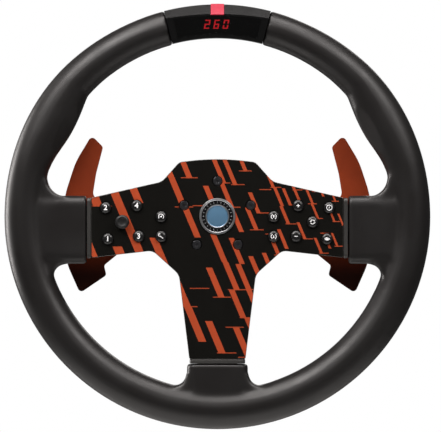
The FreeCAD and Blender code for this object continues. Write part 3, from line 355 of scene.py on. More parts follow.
def shader_group(name: str, inputs: dict[str, float], outputs: dict[str, str]) -> bpy.types.NodeTree:
    """Empty node group with named sockets.

    Args:
        name: the group's name.
        inputs: default number of each input.
        outputs: socket type of each output.

    Returns:
        The group.
    """
    tree = bpy.data.node_groups.new(name, "ShaderNodeTree")
    for socket, value in inputs.items():
        made = tree.interface.new_socket(socket, in_out="INPUT", socket_type="NodeSocketFloat")
        made.default_value = value
    for socket, kind in outputs.items():
        tree.interface.new_socket(socket, in_out="OUTPUT", socket_type=kind)
    return tree


class Groups:
    """The effects that several finishes share, each built once."""

    def __init__(self) -> None:
        """Build every group."""
        self.grain = self._grain()
        self.handling = self._handling()
        self.turned = self._turned()
        self.dashes = self._dashes()

    def _grain(self) -> bpy.types.NodeTree:
        """Fine pebbled surface of moulded rubber or plastic, as a normal."""
        tree = shader_group("pebble_grain", {"Per mm": 2.0, "Depth": 0.02, "Strength": 0.3},
                            {"Normal": "NodeSocketVector"})
        graph = Graph(tree)
        given = graph.add("NodeGroupInput")
        place = graph.place()
        scale = graph.per_metre(given.outputs["Per mm"])
        cells = graph.add("ShaderNodeTexVoronoi", {"Vector": place, "Scale": scale})
        ripple = graph.add("ShaderNodeTexNoise", {"Vector": place, "Scale": scale, "Detail": 3.0})
        height = graph.math("ADD", cells.outputs["Distance"], ripple.outputs["Fac"])
        distance = graph.math("MULTIPLY", given.outputs["Depth"], MM)
        bump = graph.add("ShaderNodeBump", {"Height": height, "Distance": distance,
                                            "Strength": given.outputs["Strength"]})
        graph.add("NodeGroupOutput", {"Normal": bump.outputs[0]})
        return tree

    def _handling(self) -> bpy.types.NodeTree:
        """Broad uneven patches that hands and dust leave, as a mask from 0 to 1."""
        tree = shader_group("handling_marks", {"Per mm": 0.05, "Contrast": 1.0},
                            {"Mask": "NodeSocketFloat"})
        graph = Graph(tree)
        given = graph.add("NodeGroupInput")
        scale = graph.per_metre(given.outputs["Per mm"])
        inputs = {"Vector": graph.place(), "Scale": scale, "Detail": 5.0, "Roughness": 0.6}
        noise = graph.add("ShaderNodeTexNoise", inputs).outputs["Fac"]
        centred = graph.math("SUBTRACT", noise, 0.5)
        spread = graph.math("MULTIPLY_ADD", centred, given.outputs["Contrast"], 0.5)
        mask = graph.add("ShaderNodeClamp", {"Value": spread}).outputs[0]
        graph.add("NodeGroupOutput", {"Mask": mask})
        return tree

    def _turned(self) -> bpy.types.NodeTree:
        """Fine rings that a lathe leaves round a centre (X, Z), as a mask and a normal."""
        tree = shader_group("turned_rings", {"X": 0.0, "Z": 0.0, "Per mm": 6.0, "Strength": 0.2},
                            {"Mask": "NodeSocketFloat", "Normal": "NodeSocketVector"})
        graph = Graph(tree)
        given = graph.add("NodeGroupInput")
        place = graph.add("ShaderNodeSeparateXYZ", {0: graph.place()})
        x = graph.math("SUBTRACT", place.outputs[0], graph.math("MULTIPLY", given.outputs["X"], MM))
        z = graph.math("SUBTRACT", place.outputs[2], graph.math("MULTIPLY", given.outputs["Z"], MM))
        squares = graph.math("ADD", graph.math("MULTIPLY", x, x), graph.math("MULTIPLY", z, z))
        radius = graph.math("SQRT", squares)
        scale = graph.per_metre(given.outputs["Per mm"])
        line = graph.add("ShaderNodeCombineXYZ", {0: radius, 1: place.outputs[1]}).outputs[0]
        inputs = {"Vector": line, "Scale": scale, "Detail": 3.0}
        rings = graph.add("ShaderNodeTexNoise", inputs).outputs["Fac"]
        bump = graph.add("ShaderNodeBump", {"Height": rings, "Distance": 0.02 * MM,
                                            "Strength": given.outputs["Strength"]})
        graph.add("NodeGroupOutput", {"Mask": rings, "Normal": bump.outputs[0]})
        return tree

    def _dashes(self) -> bpy.types.NodeTree:
        """Slanted dashes in leaning columns that get finer from left to right, as a mask.

        Lean and Pitch give the columns, Spread and Thinning how fast they get finer, Width a
        dash's share of its column and Row its length in pitches. Share is how many cells of an
        even row hold a dash, Skip how many fewer in an odd row, and Rules how many have a rule.
        """
        given = {"Lean": 0.42, "Pitch": 12.0, "Spread": 14.0, "Width": 0.33, "Thinning": 0.0007,
                 "Row": 1.6, "Share": 0.82, "Skip": 0.62, "Rules": 0.45,
                 "Rule mm": 0.7, "Rule ink": 0.8}
        tree = shader_group("slanted_dashes", given, {"Mask": "NodeSocketFloat"})
        graph = Graph(tree)
        given = graph.add("NodeGroupInput").outputs
        place = graph.add("ShaderNodeSeparateXYZ", {0: graph.place()}).outputs
        x, z = graph.per_metre(place[0]), graph.per_metre(place[2])
        across = graph.math("MULTIPLY_ADD", z, given["Lean"], x)
        pitch = graph.math("SUBTRACT", given["Pitch"], graph.math("DIVIDE", across, given["Spread"]))
        pitch = graph.math("MAXIMUM", pitch, 2.0)
        log = graph.math("LOGARITHM", pitch, math.e)
        column = graph.math("MULTIPLY", log, graph.math("MULTIPLY", given["Spread"], -1.0))
        index = graph.math("FLOOR", column)
        inside = graph.math("SUBTRACT", column, index)
        shift = graph.add("ShaderNodeTexWhiteNoise", {"W": index}, noise_dimensions="1D").outputs[0]
        fineness = graph.math("DIVIDE", index, graph.math("MULTIPLY", given["Spread"], -1.0))
        length = graph.math("MULTIPLY", graph.math("EXPONENT", fineness), given["Row"])
        row = graph.math("ADD", graph.math("DIVIDE", z, length), graph.math("MULTIPLY", shift, 7.0))
        row_index = graph.math("FLOOR", row)
        height = graph.math("MULTIPLY", graph.math("SUBTRACT", row, row_index), length)
        cell = graph.add("ShaderNodeCombineXYZ", {0: index, 1: row_index, 2: 4.0}).outputs[0]
        chance = graph.add("ShaderNodeTexWhiteNoise", {"Vector": cell}, noise_dimensions="3D")
        picks = graph.add("ShaderNodeSeparateColor", {0: chance.outputs["Color"]}).outputs
        thinning = graph.math("MULTIPLY", across, given["Thinning"])
        width = graph.math("SUBTRACT", given["Width"], thinning)
        slack = graph.math("MULTIPLY", graph.math("SUBTRACT", 1.0, width), 0.6)
        start = graph.math("MULTIPLY", picks[0], slack)
        after = graph.math("GREATER_THAN", inside, start)
        before = graph.math("LESS_THAN", inside, graph.math("ADD", start, width))
        odd = graph.math("MULTIPLY", graph.math("FRACT", graph.math("MULTIPLY", row_index, 0.5)), 2.0)
        share = graph.math("SUBTRACT", given["Share"], graph.math("MULTIPLY", odd, given["Skip"]))
        shown = graph.math("LESS_THAN", picks[1], share)
        dash = graph.math("MULTIPLY", graph.math("MULTIPLY", after, before), shown)
        ruled = graph.math("LESS_THAN", picks[2], given["Rules"])
        thin = graph.math("MULTIPLY", graph.math("LESS_THAN", height, given["Rule mm"]), ruled)
        mask = graph.math("MAXIMUM", dash, graph.math("MULTIPLY", thin, given["Rule ink"]))
        graph.add("NodeGroupOutput", {"Mask": mask})
        return tree


# ---------------------------------------------------------------- finishes

Colour = tuple[float, float, float]


def shade(colour: Colour, factor: float) -> tuple[float, float, float, float]:
    """The same colour lighter or darker, as a socket takes it."""
    return (colour[0] * factor, colour[1] * factor, colour[2] * factor, 1.0)


@dataclass(frozen=True)
class Finish:
    """A named material with one Principled shader."""

    name: str
    colour: Colour
    roughness: float
    metallic: float = 0.0
    specular: float = 0.5
    alpha: float = 1.0

    def build(self, groups: Groups) -> bpy.types.Material:
        """Make the material.

        Args:
            groups: the shared effects.

        Returns:
            The material, with this finish's surface.
        """
        material = bpy.data.materials.new(self.name)
        material.use_nodes = True
        material.node_tree.nodes.clear()
        graph = Graph(material.node_tree)
        shader = graph.add("ShaderNodeBsdfPrincipled", {"Base Color": shade(self.colour, 1.0),
                                                        "Roughness": self.roughness,
                                                        "Metallic": self.metallic,
                                                        "Specular IOR Level": self.specular,
                                                        "Alpha": self.alpha})
        graph.add("ShaderNodeOutputMaterial", {"Surface": shader.outputs[0]})
        self.surface(graph, shader, groups)
        return material

    def effect(self, graph: Graph, tree: bpy.types.NodeTree, **values: float) -> bpy.types.Node:
        """Place a shared effect with its own values.

        Args:
            graph: the material's graph.
            tree: the effect's node group.
            values: its inputs by name, with an underscore for a space.

        Returns:
            The group node.
        """
        node = graph.add("ShaderNodeGroup", node_tree=tree)
        for name, value in values.items():
            node.inputs[name.replace("_", " ")].default_value = value
        return node

    def uneven(self, graph: Graph, shader: bpy.types.Node, groups: Groups, per_mm: float,
               tone: float, gloss: float) -> None:
        """Vary colour and roughness in broad patches.

        Args:
            graph: the material's graph.
            shader: its Principled shader.
            groups: the shared effects.
            per_mm: patches to a millimetre.
            tone: how much the colour varies, as a share.
            gloss: how much the roughness varies.
        """
        marks = self.effect(graph, groups.handling, Per_mm=per_mm, Contrast=1.8).outputs["Mask"]
        colour = graph.mix(marks, shade(self.colour, 1.0 - tone), shade(self.colour, 1.0 + tone))
        rough = graph.blend(marks, self.roughness + gloss, self.roughness - gloss)
        graph.feed(shader, Base_Color=colour, Roughness=rough)

    def surface(self, graph: Graph, shader: bpy.types.Node, groups: Groups) -> None:
        """Give the plain surface faint patches.

        Args:
            graph: the material's graph.
            shader: its Principled shader.
            groups: the shared effects.
        """
        self.uneven(graph, shader, groups, 0.15, 0.08, 0.03)


@dataclass(frozen=True)
class Moulded(Finish):
    """Moulded rubber or plastic with a pebbled skin and handling marks."""

    per_mm: float = 2.2
    depth: float = 0.03
    strength: float = 0.35
    tone: float = 0.18
    gloss: float = 0.06

    def surface(self, graph: Graph, shader: bpy.types.Node, groups: Groups) -> None:
        """Pebble the skin and vary its gloss.

        Args:
            graph: the material's graph.
            shader: its Principled shader.
            groups: the shared effects.
        """
        self.uneven(graph, shader, groups, 0.035, self.tone, self.gloss)
        grain = self.effect(graph, groups.grain, Per_mm=self.per_mm, Depth=self.depth,
                            Strength=self.strength)
        graph.feed(shader, Normal=grain.outputs["Normal"])


@dataclass(frozen=True)
class ShadedBelow(Moulded):
    """Anodised finish with painted shade: the colour darkens towards the lower end, standing in for
    the shadow on the lower blades.
    """

    full_z: float = -20.0 * MM
    dark_z: float = -46.0 * MM
    dark: float = 0.14

    def surface(self, graph: Graph, shader: bpy.types.Node, groups: Groups) -> None:
        """Paint shade by height over the moulded skin, darker towards the lower end.

        Args:
            graph: the material's graph.
            shader: its Principled shader.
            groups: the shared effects.
        """
        super().surface(graph, shader, groups)
        height = graph.add("ShaderNodeSeparateXYZ", {0: graph.place()}).outputs[2]
        # painted shade: the colour goes darker between full_z and dark_z
        painted_shade = graph.step(height, (self.full_z + self.dark_z) / 2.0, (self.full_z - self.dark_z) / 2.0)
        full = shader.inputs["Base Color"].links[0].from_socket
        graph.feed(shader, Base_Color=graph.mix(painted_shade, shade(self.colour, self.dark), full))


@dataclass(frozen=True)
class Turned(Finish):
    """Metal with lathe rings round a centre."""

    x: float = 0.0
    z: float = 0.0
    per_mm: float = 5.0
    strength: float = 0.25

    def surface(self, graph: Graph, shader: bpy.types.Node, groups: Groups) -> None:
        """Ring the colour, the gloss and the normal.

        Args:
            graph: the material's graph.
            shader: its Principled shader.
            groups: the shared effects.
        """
        rings = self.effect(graph, groups.turned, X=self.x, Z=self.z, Per_mm=self.per_mm,
                            Strength=self.strength)
        mask = rings.outputs["Mask"]
        colour = graph.mix(mask, shade(self.colour, 0.78), shade(self.colour, 1.2))
        rough = graph.blend(mask, self.roughness - 0.06, self.roughness + 0.08)
        graph.feed(shader, Base_Color=colour, Roughness=rough, Normal=rings.outputs["Normal"])


@dataclass(frozen=True)
class Printed(Finish):
    """Matt plate with a printed pattern of slanted dashes."""

    ink: Colour = (0.45, 0.07, 0.025)
    ink_roughness: float = 0.45

    def surface(self, graph: Graph, shader: bpy.types.Node, groups: Groups) -> None:
        """Print the dashes on a finely textured lacquer.

        Args:
            graph: the material's graph.
            shader: its Principled shader.
            groups: the shared effects.
        """
        mask = self.effect(graph, groups.dashes).outputs["Mask"]
        marks = self.effect(graph, groups.handling, Per_mm=0.06, Contrast=1.6).outputs["Mask"]
        ground = graph.mix(marks, shade(self.colour, 0.8), shade(self.colour, 1.25))
        ink = graph.mix(marks, shade(self.ink, 0.88), shade(self.ink, 1.1))
        rough = graph.blend(mask, self.roughness, self.ink_roughness)
        graph.feed(shader, Base_Color=graph.mix(mask, ground, ink), Roughness=rough)
        grain = self.effect(graph, groups.grain, Per_mm=5.0, Depth=0.01, Strength=0.25)
        graph.feed(shader, Normal=grain.outputs["Normal"])


@dataclass(frozen=True)
class Lit(Finish):
    """Plastic that glows: lit from behind on the display digits, painted glow on the marker and the
    button legends.
    """

    glow: float = 1.0

    def surface(self, graph: Graph, shader: bpy.types.Node, groups: Groups) -> None:
        """Let the light vary a little over the surface.

        Args:
            graph: the material's graph.
            shader: its Principled shader.
            groups: the shared effects.
        """
        marks = self.effect(graph, groups.handling, Per_mm=0.4, Contrast=1.2).outputs["Mask"]
        colour = graph.mix(marks, shade(self.colour, 0.85), shade(self.colour, 1.1))
        graph.feed(shader, Base_Color=colour, Emission_Color=colour)
        shader.inputs["Emission Strength"].default_value = self.glow


@dataclass(frozen=True)
class Board(Finish):
    """Solder mask with copper runs under it."""

    run: Colour = (0.05, 0.20, 0.10)

    def surface(self, graph: Graph, shader: bpy.types.Node, groups: Groups) -> None:
        """Show the runs as a lighter web under the mask.

        Args:
            graph: the material's graph.
            shader: its Principled shader.
            groups: the shared effects.
        """
        inputs = {"Vector": graph.place(), "Scale": 0.35 / MM}
        cells = graph.add("ShaderNodeTexVoronoi", inputs, distance="CHEBYCHEV",
                          feature="F1").outputs["Distance"]
        runs = graph.step(graph.math("PINGPONG", cells, 0.12), 0.07, 0.02)
        graph.feed(shader, Base_Color=graph.mix(runs, shade(self.colour, 1.0), shade(self.run, 1.0)))


FINISHES = {finish.name: finish for finish in (
    Moulded("grip_rubber", (0.0085, 0.0073, 0.0070), 0.42, specular=0.55, per_mm=1.7, depth=0.03,
            strength=0.25, tone=0.3, gloss=0.09),
    Moulded("collar_satin", (0.040, 0.039, 0.037), 0.36, per_mm=6.0, depth=0.008, strength=0.2),
    Moulded("display_shell", (0.004, 0.004, 0.004), 0.2, specular=0.4, per_mm=0.4, depth=0.01,
            strength=0.1, tone=0.1, gloss=0.03),
    Moulded("display_lens", (0.003, 0.003, 0.003), 0.12, specular=0.4, alpha=0.82, per_mm=0.3,
            depth=0.004, strength=0.05, gloss=0.02),
    Lit("digit_red", (0.90, 0.02, 0.03), 0.4, glow=15.0),
    # the marker's glow is painted light that brightens the red strip
    Lit("marker_red", (0.40, 0.020, 0.045), 0.22, glow=0.28),
    Moulded("module_black", (0.006, 0.006, 0.006), 0.6),
    Board("circuit_board", (0.02, 0.12, 0.06), 0.35),
    Moulded("lead_sleeve", (0.02, 0.02, 0.02), 0.6, per_mm=4.0),
    Moulded("frame_metal", (0.022, 0.022, 0.023), 0.5, specular=0.4, per_mm=4.0, depth=0.02,
            strength=0.3, tone=0.1),
    Printed("plate_black", (0.0038, 0.0035, 0.0026), 0.6, specular=0.1),
    Moulded("plate_edge", (0.34, 0.33, 0.31), 0.32, metallic=1.0, per_mm=6.0, depth=0.006,
            strength=0.2, tone=0.1),
    Moulded("housing_plastic", (0.012, 0.012, 0.012), 0.52, per_mm=3.0, depth=0.03, strength=0.4),
    Turned("screw_black", (0.16, 0.16, 0.17), 0.30, metallic=1.0, per_mm=7.0),
    Turned("badge_chrome", (0.70, 0.71, 0.73), 0.30, metallic=1.0, per_mm=9.0, strength=0.05),
    Moulded("badge_inlay", (0.006, 0.006, 0.007), 0.22, per_mm=2.0, depth=0.004, strength=0.1),
    Turned("badge_centre", (0.22, 0.46, 0.72), 0.30, metallic=0.7, per_mm=7.0, strength=0.3),
    Moulded("button_black", (0.012, 0.012, 0.012), 0.26, per_mm=5.0, depth=0.006, strength=0.2),
    # the legends' glow is painted light that brightens the white print
    Lit("legend_white", (0.88, 0.88, 0.88), 0.45, glow=0.3),
    Moulded("switch_body", (0.03, 0.03, 0.03), 0.5, per_mm=4.0),
    Moulded("stick_plastic", (0.010, 0.010, 0.010), 0.44, per_mm=5.0, depth=0.02, strength=0.4),
    Moulded("gimbal_white", (0.70, 0.70, 0.67), 0.42, per_mm=3.0, depth=0.01),
    # paddle_orange carries painted shade that darkens the lower blades
    ShadedBelow("paddle_orange", (0.34, 0.050, 0.014), 0.45, specular=0.25, metallic=0.15, per_mm=7.0,
          depth=0.008, strength=0.3, tone=0.16, gloss=0.05),
    Moulded("bracket_metal", (0.03, 0.03, 0.032), 0.45, specular=0.5, per_mm=7.0, depth=0.008),
    Moulded("pin_steel", (0.56, 0.56, 0.56), 0.25, metallic=1.0, per_mm=8.0, depth=0.004),
    Moulded("magnet_nickel", (0.60, 0.59, 0.56), 0.18, metallic=1.0, per_mm=3.0, depth=0.004),
    Turned("release_metal", (0.045, 0.045, 0.05), 0.36, metallic=0.9, per_mm=3.0),
    Turned("socket_steel", (0.40, 0.40, 0.41), 0.28, metallic=1.0, per_mm=4.0),
    Moulded("spring_steel", (0.48, 0.48, 0.48), 0.3, metallic=1.0, per_mm=6.0, depth=0.004),
    Moulded("contact_block", (0.03, 0.03, 0.032), 0.5),
)}


class Paintbox:
    """Every finish as a material, made when first used."""

    def __init__(self) -> None:
        """Build the shared effects."""
        self.groups = Groups()
        self.made: dict[str, bpy.types.Material] = {}

    def take(self, name: str) -> bpy.types.Material:
        """Material of a finish."""
        if name not in self.made:
            self.made[name] = FINISHES[name].build(self.groups)
        return self.made[name]

    def dress(self, piece: bpy.types.Object, *names: str) -> None:
        """Give a piece or CAD node its materials, in order.

        Args:
            piece: the piece or node.
            names: its finishes, in the order of their slots.
        """
        piece.data.materials.clear()
        for name in names:
            piece.data.materials.append(self.take(name))

    def dress_second(self, piece: bpy.types.Object, first: str, second: str) -> None:
        """Give a piece two materials and show the second on every face."""
        self.dress(piece, first, second)
        for face in piece.data.polygons:
            face.material_index = 1


class Assembly:
    """What every sub-assembly can do: place pieces and report them."""

    paints: Paintbox

    def show(self, piece: bpy.types.Object, body: str, slot: str, *nodes: str) -> None:
        """Set a finished piece on its body.

        Args:
            piece: the finished piece.
            body: the body it rides on.
            slot: the record's material slot; not used.
            nodes: CAD nodes it stands for.
        """
        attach(piece, body)
        if nodes:
            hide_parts(*nodes)
        LOG.info("%s: %d faces on %s", piece.name, len(piece.data.polygons), body)

    def keep(self, slot: str, *nodes: str) -> None:
        """Keep CAD nodes as they are and give them a finish.

        Args:
            slot: the finish, named as its slot is.
            nodes: the nodes' names.
        """
        for node in nodes:
            self.paints.dress(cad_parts[node], slot)
            LOG.info("%s: kept", node)

    def turned(self, piece: bpy.types.Object, slot: str, body: str, *nodes: str) -> None:
        """Shade a turned piece, give it its finish and set it on its body.

        Args:
            piece: a piece from the lathe.
            slot: the record's material slot, which is also its finish.
            body: the body it rides on.
            nodes: CAD nodes it stands for.
        """
        smooth(piece, 40.0)
        self.paints.dress(piece, slot)
        self.show(piece, body, slot, *nodes)

    def refine(self, node: str, slot: str, edge: float, body: str = "root", segments: int = 2,
               edge_finish: str = "", suffix: str = "body") -> bpy.types.Object:
        """Replace a CAD node with a copy whose sharp edges are rounded.

        Args:
            node: the CAD node.
            slot: the record's material slot, which is also its finish.
            edge: width of the rounded edges.
            body: the body it rides on.
            segments: faces across an edge.
            edge_finish: another finish for the edges.
            suffix: what the piece is called after the node's name.

        Returns:
            The new piece.
        """
        twin = duplicate(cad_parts[node], node + "_" + suffix)
        only(twin)
        bpy.ops.mesh.customdata_custom_splitnormals_clear()
        self.paints.dress(twin, slot, *([edge_finish] if edge_finish else []))
        with editing(twin):
            weld()
            bpy.ops.mesh.select_all(action="SELECT")
            bpy.ops.mesh.dissolve_limited(angle_limit=math.radians(FLAT_ANGLE))
        modified(twin, "BEVEL", width=edge, segments=segments, limit_method="ANGLE",
                 angle_limit=math.radians(EDGE_ANGLE), use_clamp_overlap=True,
                 material=1 if edge_finish else -1)
        smooth(twin, EDGE_ANGLE + 2.0)
        modified(twin, "WEIGHTED_NORMAL", keep_sharp=True, weight=80)
        self.show(twin, body, slot, node)
        return twin


# ---------------------------------------------------------------- grip

@dataclass
class Grip(Assembly):
    """Overmoulded rubber grip with thumb rests and three spoke pads."""

    paints: Paintbox
    plane_y: float = -61.0 * MM
    half_depth: float = 14.0 * MM
    outer: float = 159.8 * MM
    inner: float = 130.4 * MM
    top_outer: float = 159.0 * MM
    top_inner: float = 132.8 * MM
    end_angle: float = 90.0 - 14.6
    rest_depth: float = 6.0 * MM
    rest_angles: tuple[float, float, float] = (13.0, 30.0, 42.5)
    swell: float = 1.4 * MM
    swell_angles: tuple[float, float, float] = (0.0, 38.0, 68.0)
    facet_reach: float = 15.4 * MM
    stations: int = 132
    sides: int = 40
    pad_low: Vector = field(default_factory=lambda: Vector((98.2, -71.0, -35.6)) * MM)
    pad_high: Vector = field(default_factory=lambda: Vector((141.0, -50.5, 15.4)) * MM)
    pad_edge: float = 6.5 * MM
    foot_half: float = 22.8 * MM
    foot_top: float = -110.8 * MM
    foot_root: float = -141.0 * MM
    web_overlap: float = 6.0 * MM
    web_y: tuple[float, float] = (-69.5 * MM, -52.0 * MM)
    webs: tuple = ((113.7, 29.0, 14.0, -1.0), (114.0, -45.2, 9.2, 1.0))
    foot_web: tuple = (32.0, -118.5, 8.5)
    voxel: float = 1.15 * MM

    def rest(self, degrees: float) -> float:
        """Height of the thumb rest at an angle, from 0 to 1.

        Args:
            degrees: the angle from +X towards +Z.

        Returns:
            The height.
        """
        start, peak, end = self.rest_angles
        if start < degrees <= peak:
            return (1.0 - math.cos(math.pi * (degrees - start) / (peak - start))) / 2.0
        if peak < degrees < end:
            return 1.0 - ((degrees - peak) / (end - peak)) ** 2
        return 0.0

    def radii(self, degrees: float) -> tuple[float, float]:
        """Outer and inner radius of the grip at an angle, the same on both sides.

        Args:
            degrees: the angle from +X towards +Z.

        Returns:
            The outer and the inner radius.
        """
        if degrees < -90.0:
            degrees = -180.0 - degrees
        rise = min(max(degrees / 50.0, 0.0), 1.0)
        outer = self.outer + (self.top_outer - self.outer) * rise
        inner = self.inner + (self.top_inner - self.inner) * rise
        start, peak, end = self.swell_angles
        if start < degrees < end:
            side = start if degrees < peak else end
            run = (degrees - side) / (peak - side)
            outer += self.swell * (1.0 - math.cos(math.pi * run)) / 2.0
        return outer, inner - self.rest_depth * self.rest(degrees)

    def ring(self) -> bpy.types.Object:
        """Extrude the oval section round the rim, station by station."""
        angle = self.end_angle
        outer, inner = self.radii(angle)
        middle, half = (outer + inner) / 2.0, (outer - inner) / 2.0
        deselect()
        bpy.ops.mesh.primitive_circle_add(vertices=self.sides, radius=half, fill_type="NGON",
                                          location=(middle, self.plane_y, 0.0))
        ring = named("grip_ring")
        step = -2.0 * (self.end_angle + 90.0) / self.stations
        with editing(ring):
            bpy.ops.mesh.select_all(action="SELECT")
            bpy.ops.transform.resize(value=(1.0, self.half_depth / half, 1.0),
                                     center_override=(middle, self.plane_y, 0.0))
            self._turn(angle)
            for _ in range(self.stations):
                bpy.ops.mesh.extrude_region_move()
                self._turn(step)
                angle += step
                outer, inner = self.radii(angle)
                new_middle, new_half = (outer + inner) / 2.0, (outer - inner) / 2.0
                self._size(angle, middle, new_middle, new_half / half)
                middle, half = new_middle, new_half
            weld()
        return ring

    def _turn(self, degrees: float) -> None:
        """Turn what is selected about the steering axis, from +X towards +Z."""
        bpy.ops.transform.rotate(value=math.radians(degrees), orient_axis="Y",
                                 center_override=(0.0, 0.0, 0.0))

    def _size(self, degrees: float, middle: float, new_middle: float, factor: float) -> None:
        """Widen the selected section along its own radius and move it out or in.

        Args:
            degrees: where the section is.
            middle: its middle's radius now.
            new_middle: its middle's radius afterwards.
            factor: how much wider it gets.
        """
        out = around(1.0, degrees)
        along = Vector((0.0, 1.0, 0.0))
        axes = Matrix((out, along, out.cross(along))).transposed()
        centre = around(middle, degrees, self.plane_y)
        bpy.ops.transform.resize(value=(factor, 1.0, 1.0), orient_type="GLOBAL", orient_matrix=axes,
                                 orient_matrix_type="GLOBAL", center_override=centre)
        bpy.ops.transform.translate(value=out * (new_middle - middle))

    def thumb_facets(self, ring: bpy.types.Object) -> None:
        """Cut a cone off the inner front, which meets only the thumb rests.

        Args:
            ring: the swept ring.
        """
        middle = (self.outer + self.inner) / 2.0
        reach = self.facet_reach * math.sqrt(2.0)
        depth = self.plane_y - reach
        deep = middle - 1.6 * reach
        cone = lathe("facet_cutter", [
            (deep, self.plane_y), (middle - reach, self.plane_y), (middle, depth), (deep, depth),
            (deep, self.plane_y)], steps=120)
        carved(ring, cone)

    def pad(self, name: str, low: Vector, high: Vector, along_x: bool) -> bpy.types.Object:
        """Spoke pad with soft long edges and a crisper end.

        Args:
            name: the piece's name.
            low: lowest corner.
            high: highest corner.
            along_x: whether it runs along X, or else along Z.

        Returns:
            The pad.
        """
        pad = box(name, low, high)
        axis = 0 if along_x else 2
        with editing(pad, "EDGE"):
            mesh = bmesh.from_edit_mesh(pad.data)
            for edge in mesh.edges:
                run = (edge.verts[1].co - edge.verts[0].co).normalized()
                edge.select_set(abs(run[axis]) > 0.9)
            bmesh.update_edit_mesh(pad.data)
            bpy.ops.mesh.bevel(offset=self.pad_edge, segments=5, affect="EDGES")
        return pad

    def web(self, name: str, low: Vector, high: Vector, x: float, z: float,
            radius: float) -> bpy.types.Object:
        """Corner filling between a pad and the rim, hollowed by a round bar.

        Args:
            name: the piece's name.
            low: the filling's lowest corner.
            high: its highest corner.
            x: middle of the hollow.
            z: middle of the hollow.
            radius: the hollow's radius.

        Returns:
            The filling.
        """
        block = box(name, low, high)
        ends = [Vector((x, low.y - MM, z)), Vector((x, high.y + MM, z))]
        carved(block, rod(name + "_bar", radius, *ends, sides=64))
        return block

    def build(self) -> None:
        """Model the whole grip as one moulding."""
        ring = self.ring()
        self.thumb_facets(ring)
        parts = [self.pad("side_pad", self.pad_low, self.pad_high, True)]
        near, far = self.web_y
        for index, (x, z, radius, up) in enumerate(self.webs):
            x, z, radius = x * MM, z * MM, radius * MM
            ends = sorted((z, z + up * (radius + self.web_overlap)))
            low = Vector((x, near, ends[0]))
            high = Vector((x + radius + 5.0 * MM, far, ends[1]))
            parts.append(self.web(f"web_{index}", low, high, x, z, radius))
        x, z, radius = (value * MM for value in self.foot_web)
        low = Vector((self.foot_half - 4.0 * MM, near, z - radius - self.web_overlap))
        parts.append(self.web("foot_web", low, Vector((x, far, z)), x, z, radius))
        right = joined("right_parts", parts)
        left = mirrored(right, "left_parts")
        foot = self.pad("foot_pad", Vector((-self.foot_half, self.pad_low.y, self.foot_root)),
                        Vector((self.foot_half, self.pad_high.y, self.foot_top)), False)
        grip = joined("rim_grip_moulding", [ring, right, left, foot])
        modified(grip, "REMESH", mode="VOXEL", voxel_size=self.voxel, adaptivity=0.0)
        self._soften(grip)
        smooth(grip, 80.0)
        self.paints.dress(grip, "grip_rubber")
        self.show(grip, "root", "grip_rubber", "rim_grip")

    def _soften(self, grip: bpy.types.Object) -> None:
        """Smooth the skin, and the corners between pads and rim a good deal more."""
        modified(grip, "SMOOTH", factor=0.5, iterations=8)
        corners = grip.vertex_groups.new(name="corners")
        chosen = []
        for vertex in grip.data.vertices:
            x, z = abs(vertex.co.x) / MM, vertex.co.z / MM
            beside = 106.0 < x and -56.0 < z < 36.0
            below = x < 42.0 and z < -100.0
            if 121.0 < math.hypot(x, z) < 138.0 and (beside or below):
                chosen.append(vertex.index)
        corners.add(chosen, 1.0, "REPLACE")
        modified(grip, "SMOOTH", factor=0.5, iterations=24, vertex_group="corners")


@dataclass
class Rim(Assembly):
    """Skeleton, collars and grip."""

    paints: Paintbox

    def build(self) -> None:
        """Build the rim."""
        Grip(self.paints).build()
        for place in ("left", "right", "bottom"):
            self.refine("spoke_trim_" + place, "collar_satin", 0.5 * MM, segments=3)
        self.keep("frame_metal", "rim_frame")
        self.keep("lead_sleeve", "display_lead")


# ---------------------------------------------------------------- display

@dataclass
class Display(Assembly):
    """Display segment at twelve o'clock."""

    paints: Paintbox
    figure_height: float = 0.84
    segment_size: float = 0.86

    def build(self) -> None:
        """Round the shells and light the figures."""
        self.refine("display_front_cover", "display_shell", 0.35 * MM, segments=3)
        self.refine("display_rear_cover", "display_shell", 0.3 * MM)
        self.refine("display_window", "display_lens", 0.15 * MM)
        self.refine("center_marker", "marker_red", 0.3 * MM)
        self.figures()
        self.keep("module_black", "display_module")
        self.keep("circuit_board", "display_board")

    def figures(self) -> None:
        """Copy the digit segments, shorter and with wider gaps between them."""
        digits = duplicate(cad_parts["display_digits"], "display_digits_lit")
        with editing(digits):
            weld()
            bpy.ops.mesh.select_all(action="SELECT")
            bpy.ops.transform.resize(value=(1.0, 1.0, self.figure_height),
                                     center_override=middle_of("display_digits"))
            tools = bpy.context.scene.tool_settings
            tools.transform_pivot_point = "INDIVIDUAL_ORIGINS"
            bpy.ops.transform.resize(value=(self.segment_size, 1.0, self.segment_size))
            tools.transform_pivot_point = "MEDIAN_POINT"
        modified(digits, "BEVEL", width=0.08 * MM, segments=2, limit_method="ANGLE")
        smooth(digits)
        self.paints.dress(digits, "digit_red")
        self.show(digits, "root", "digit_red", "display_digits")


# ---------------------------------------------------------------- hub

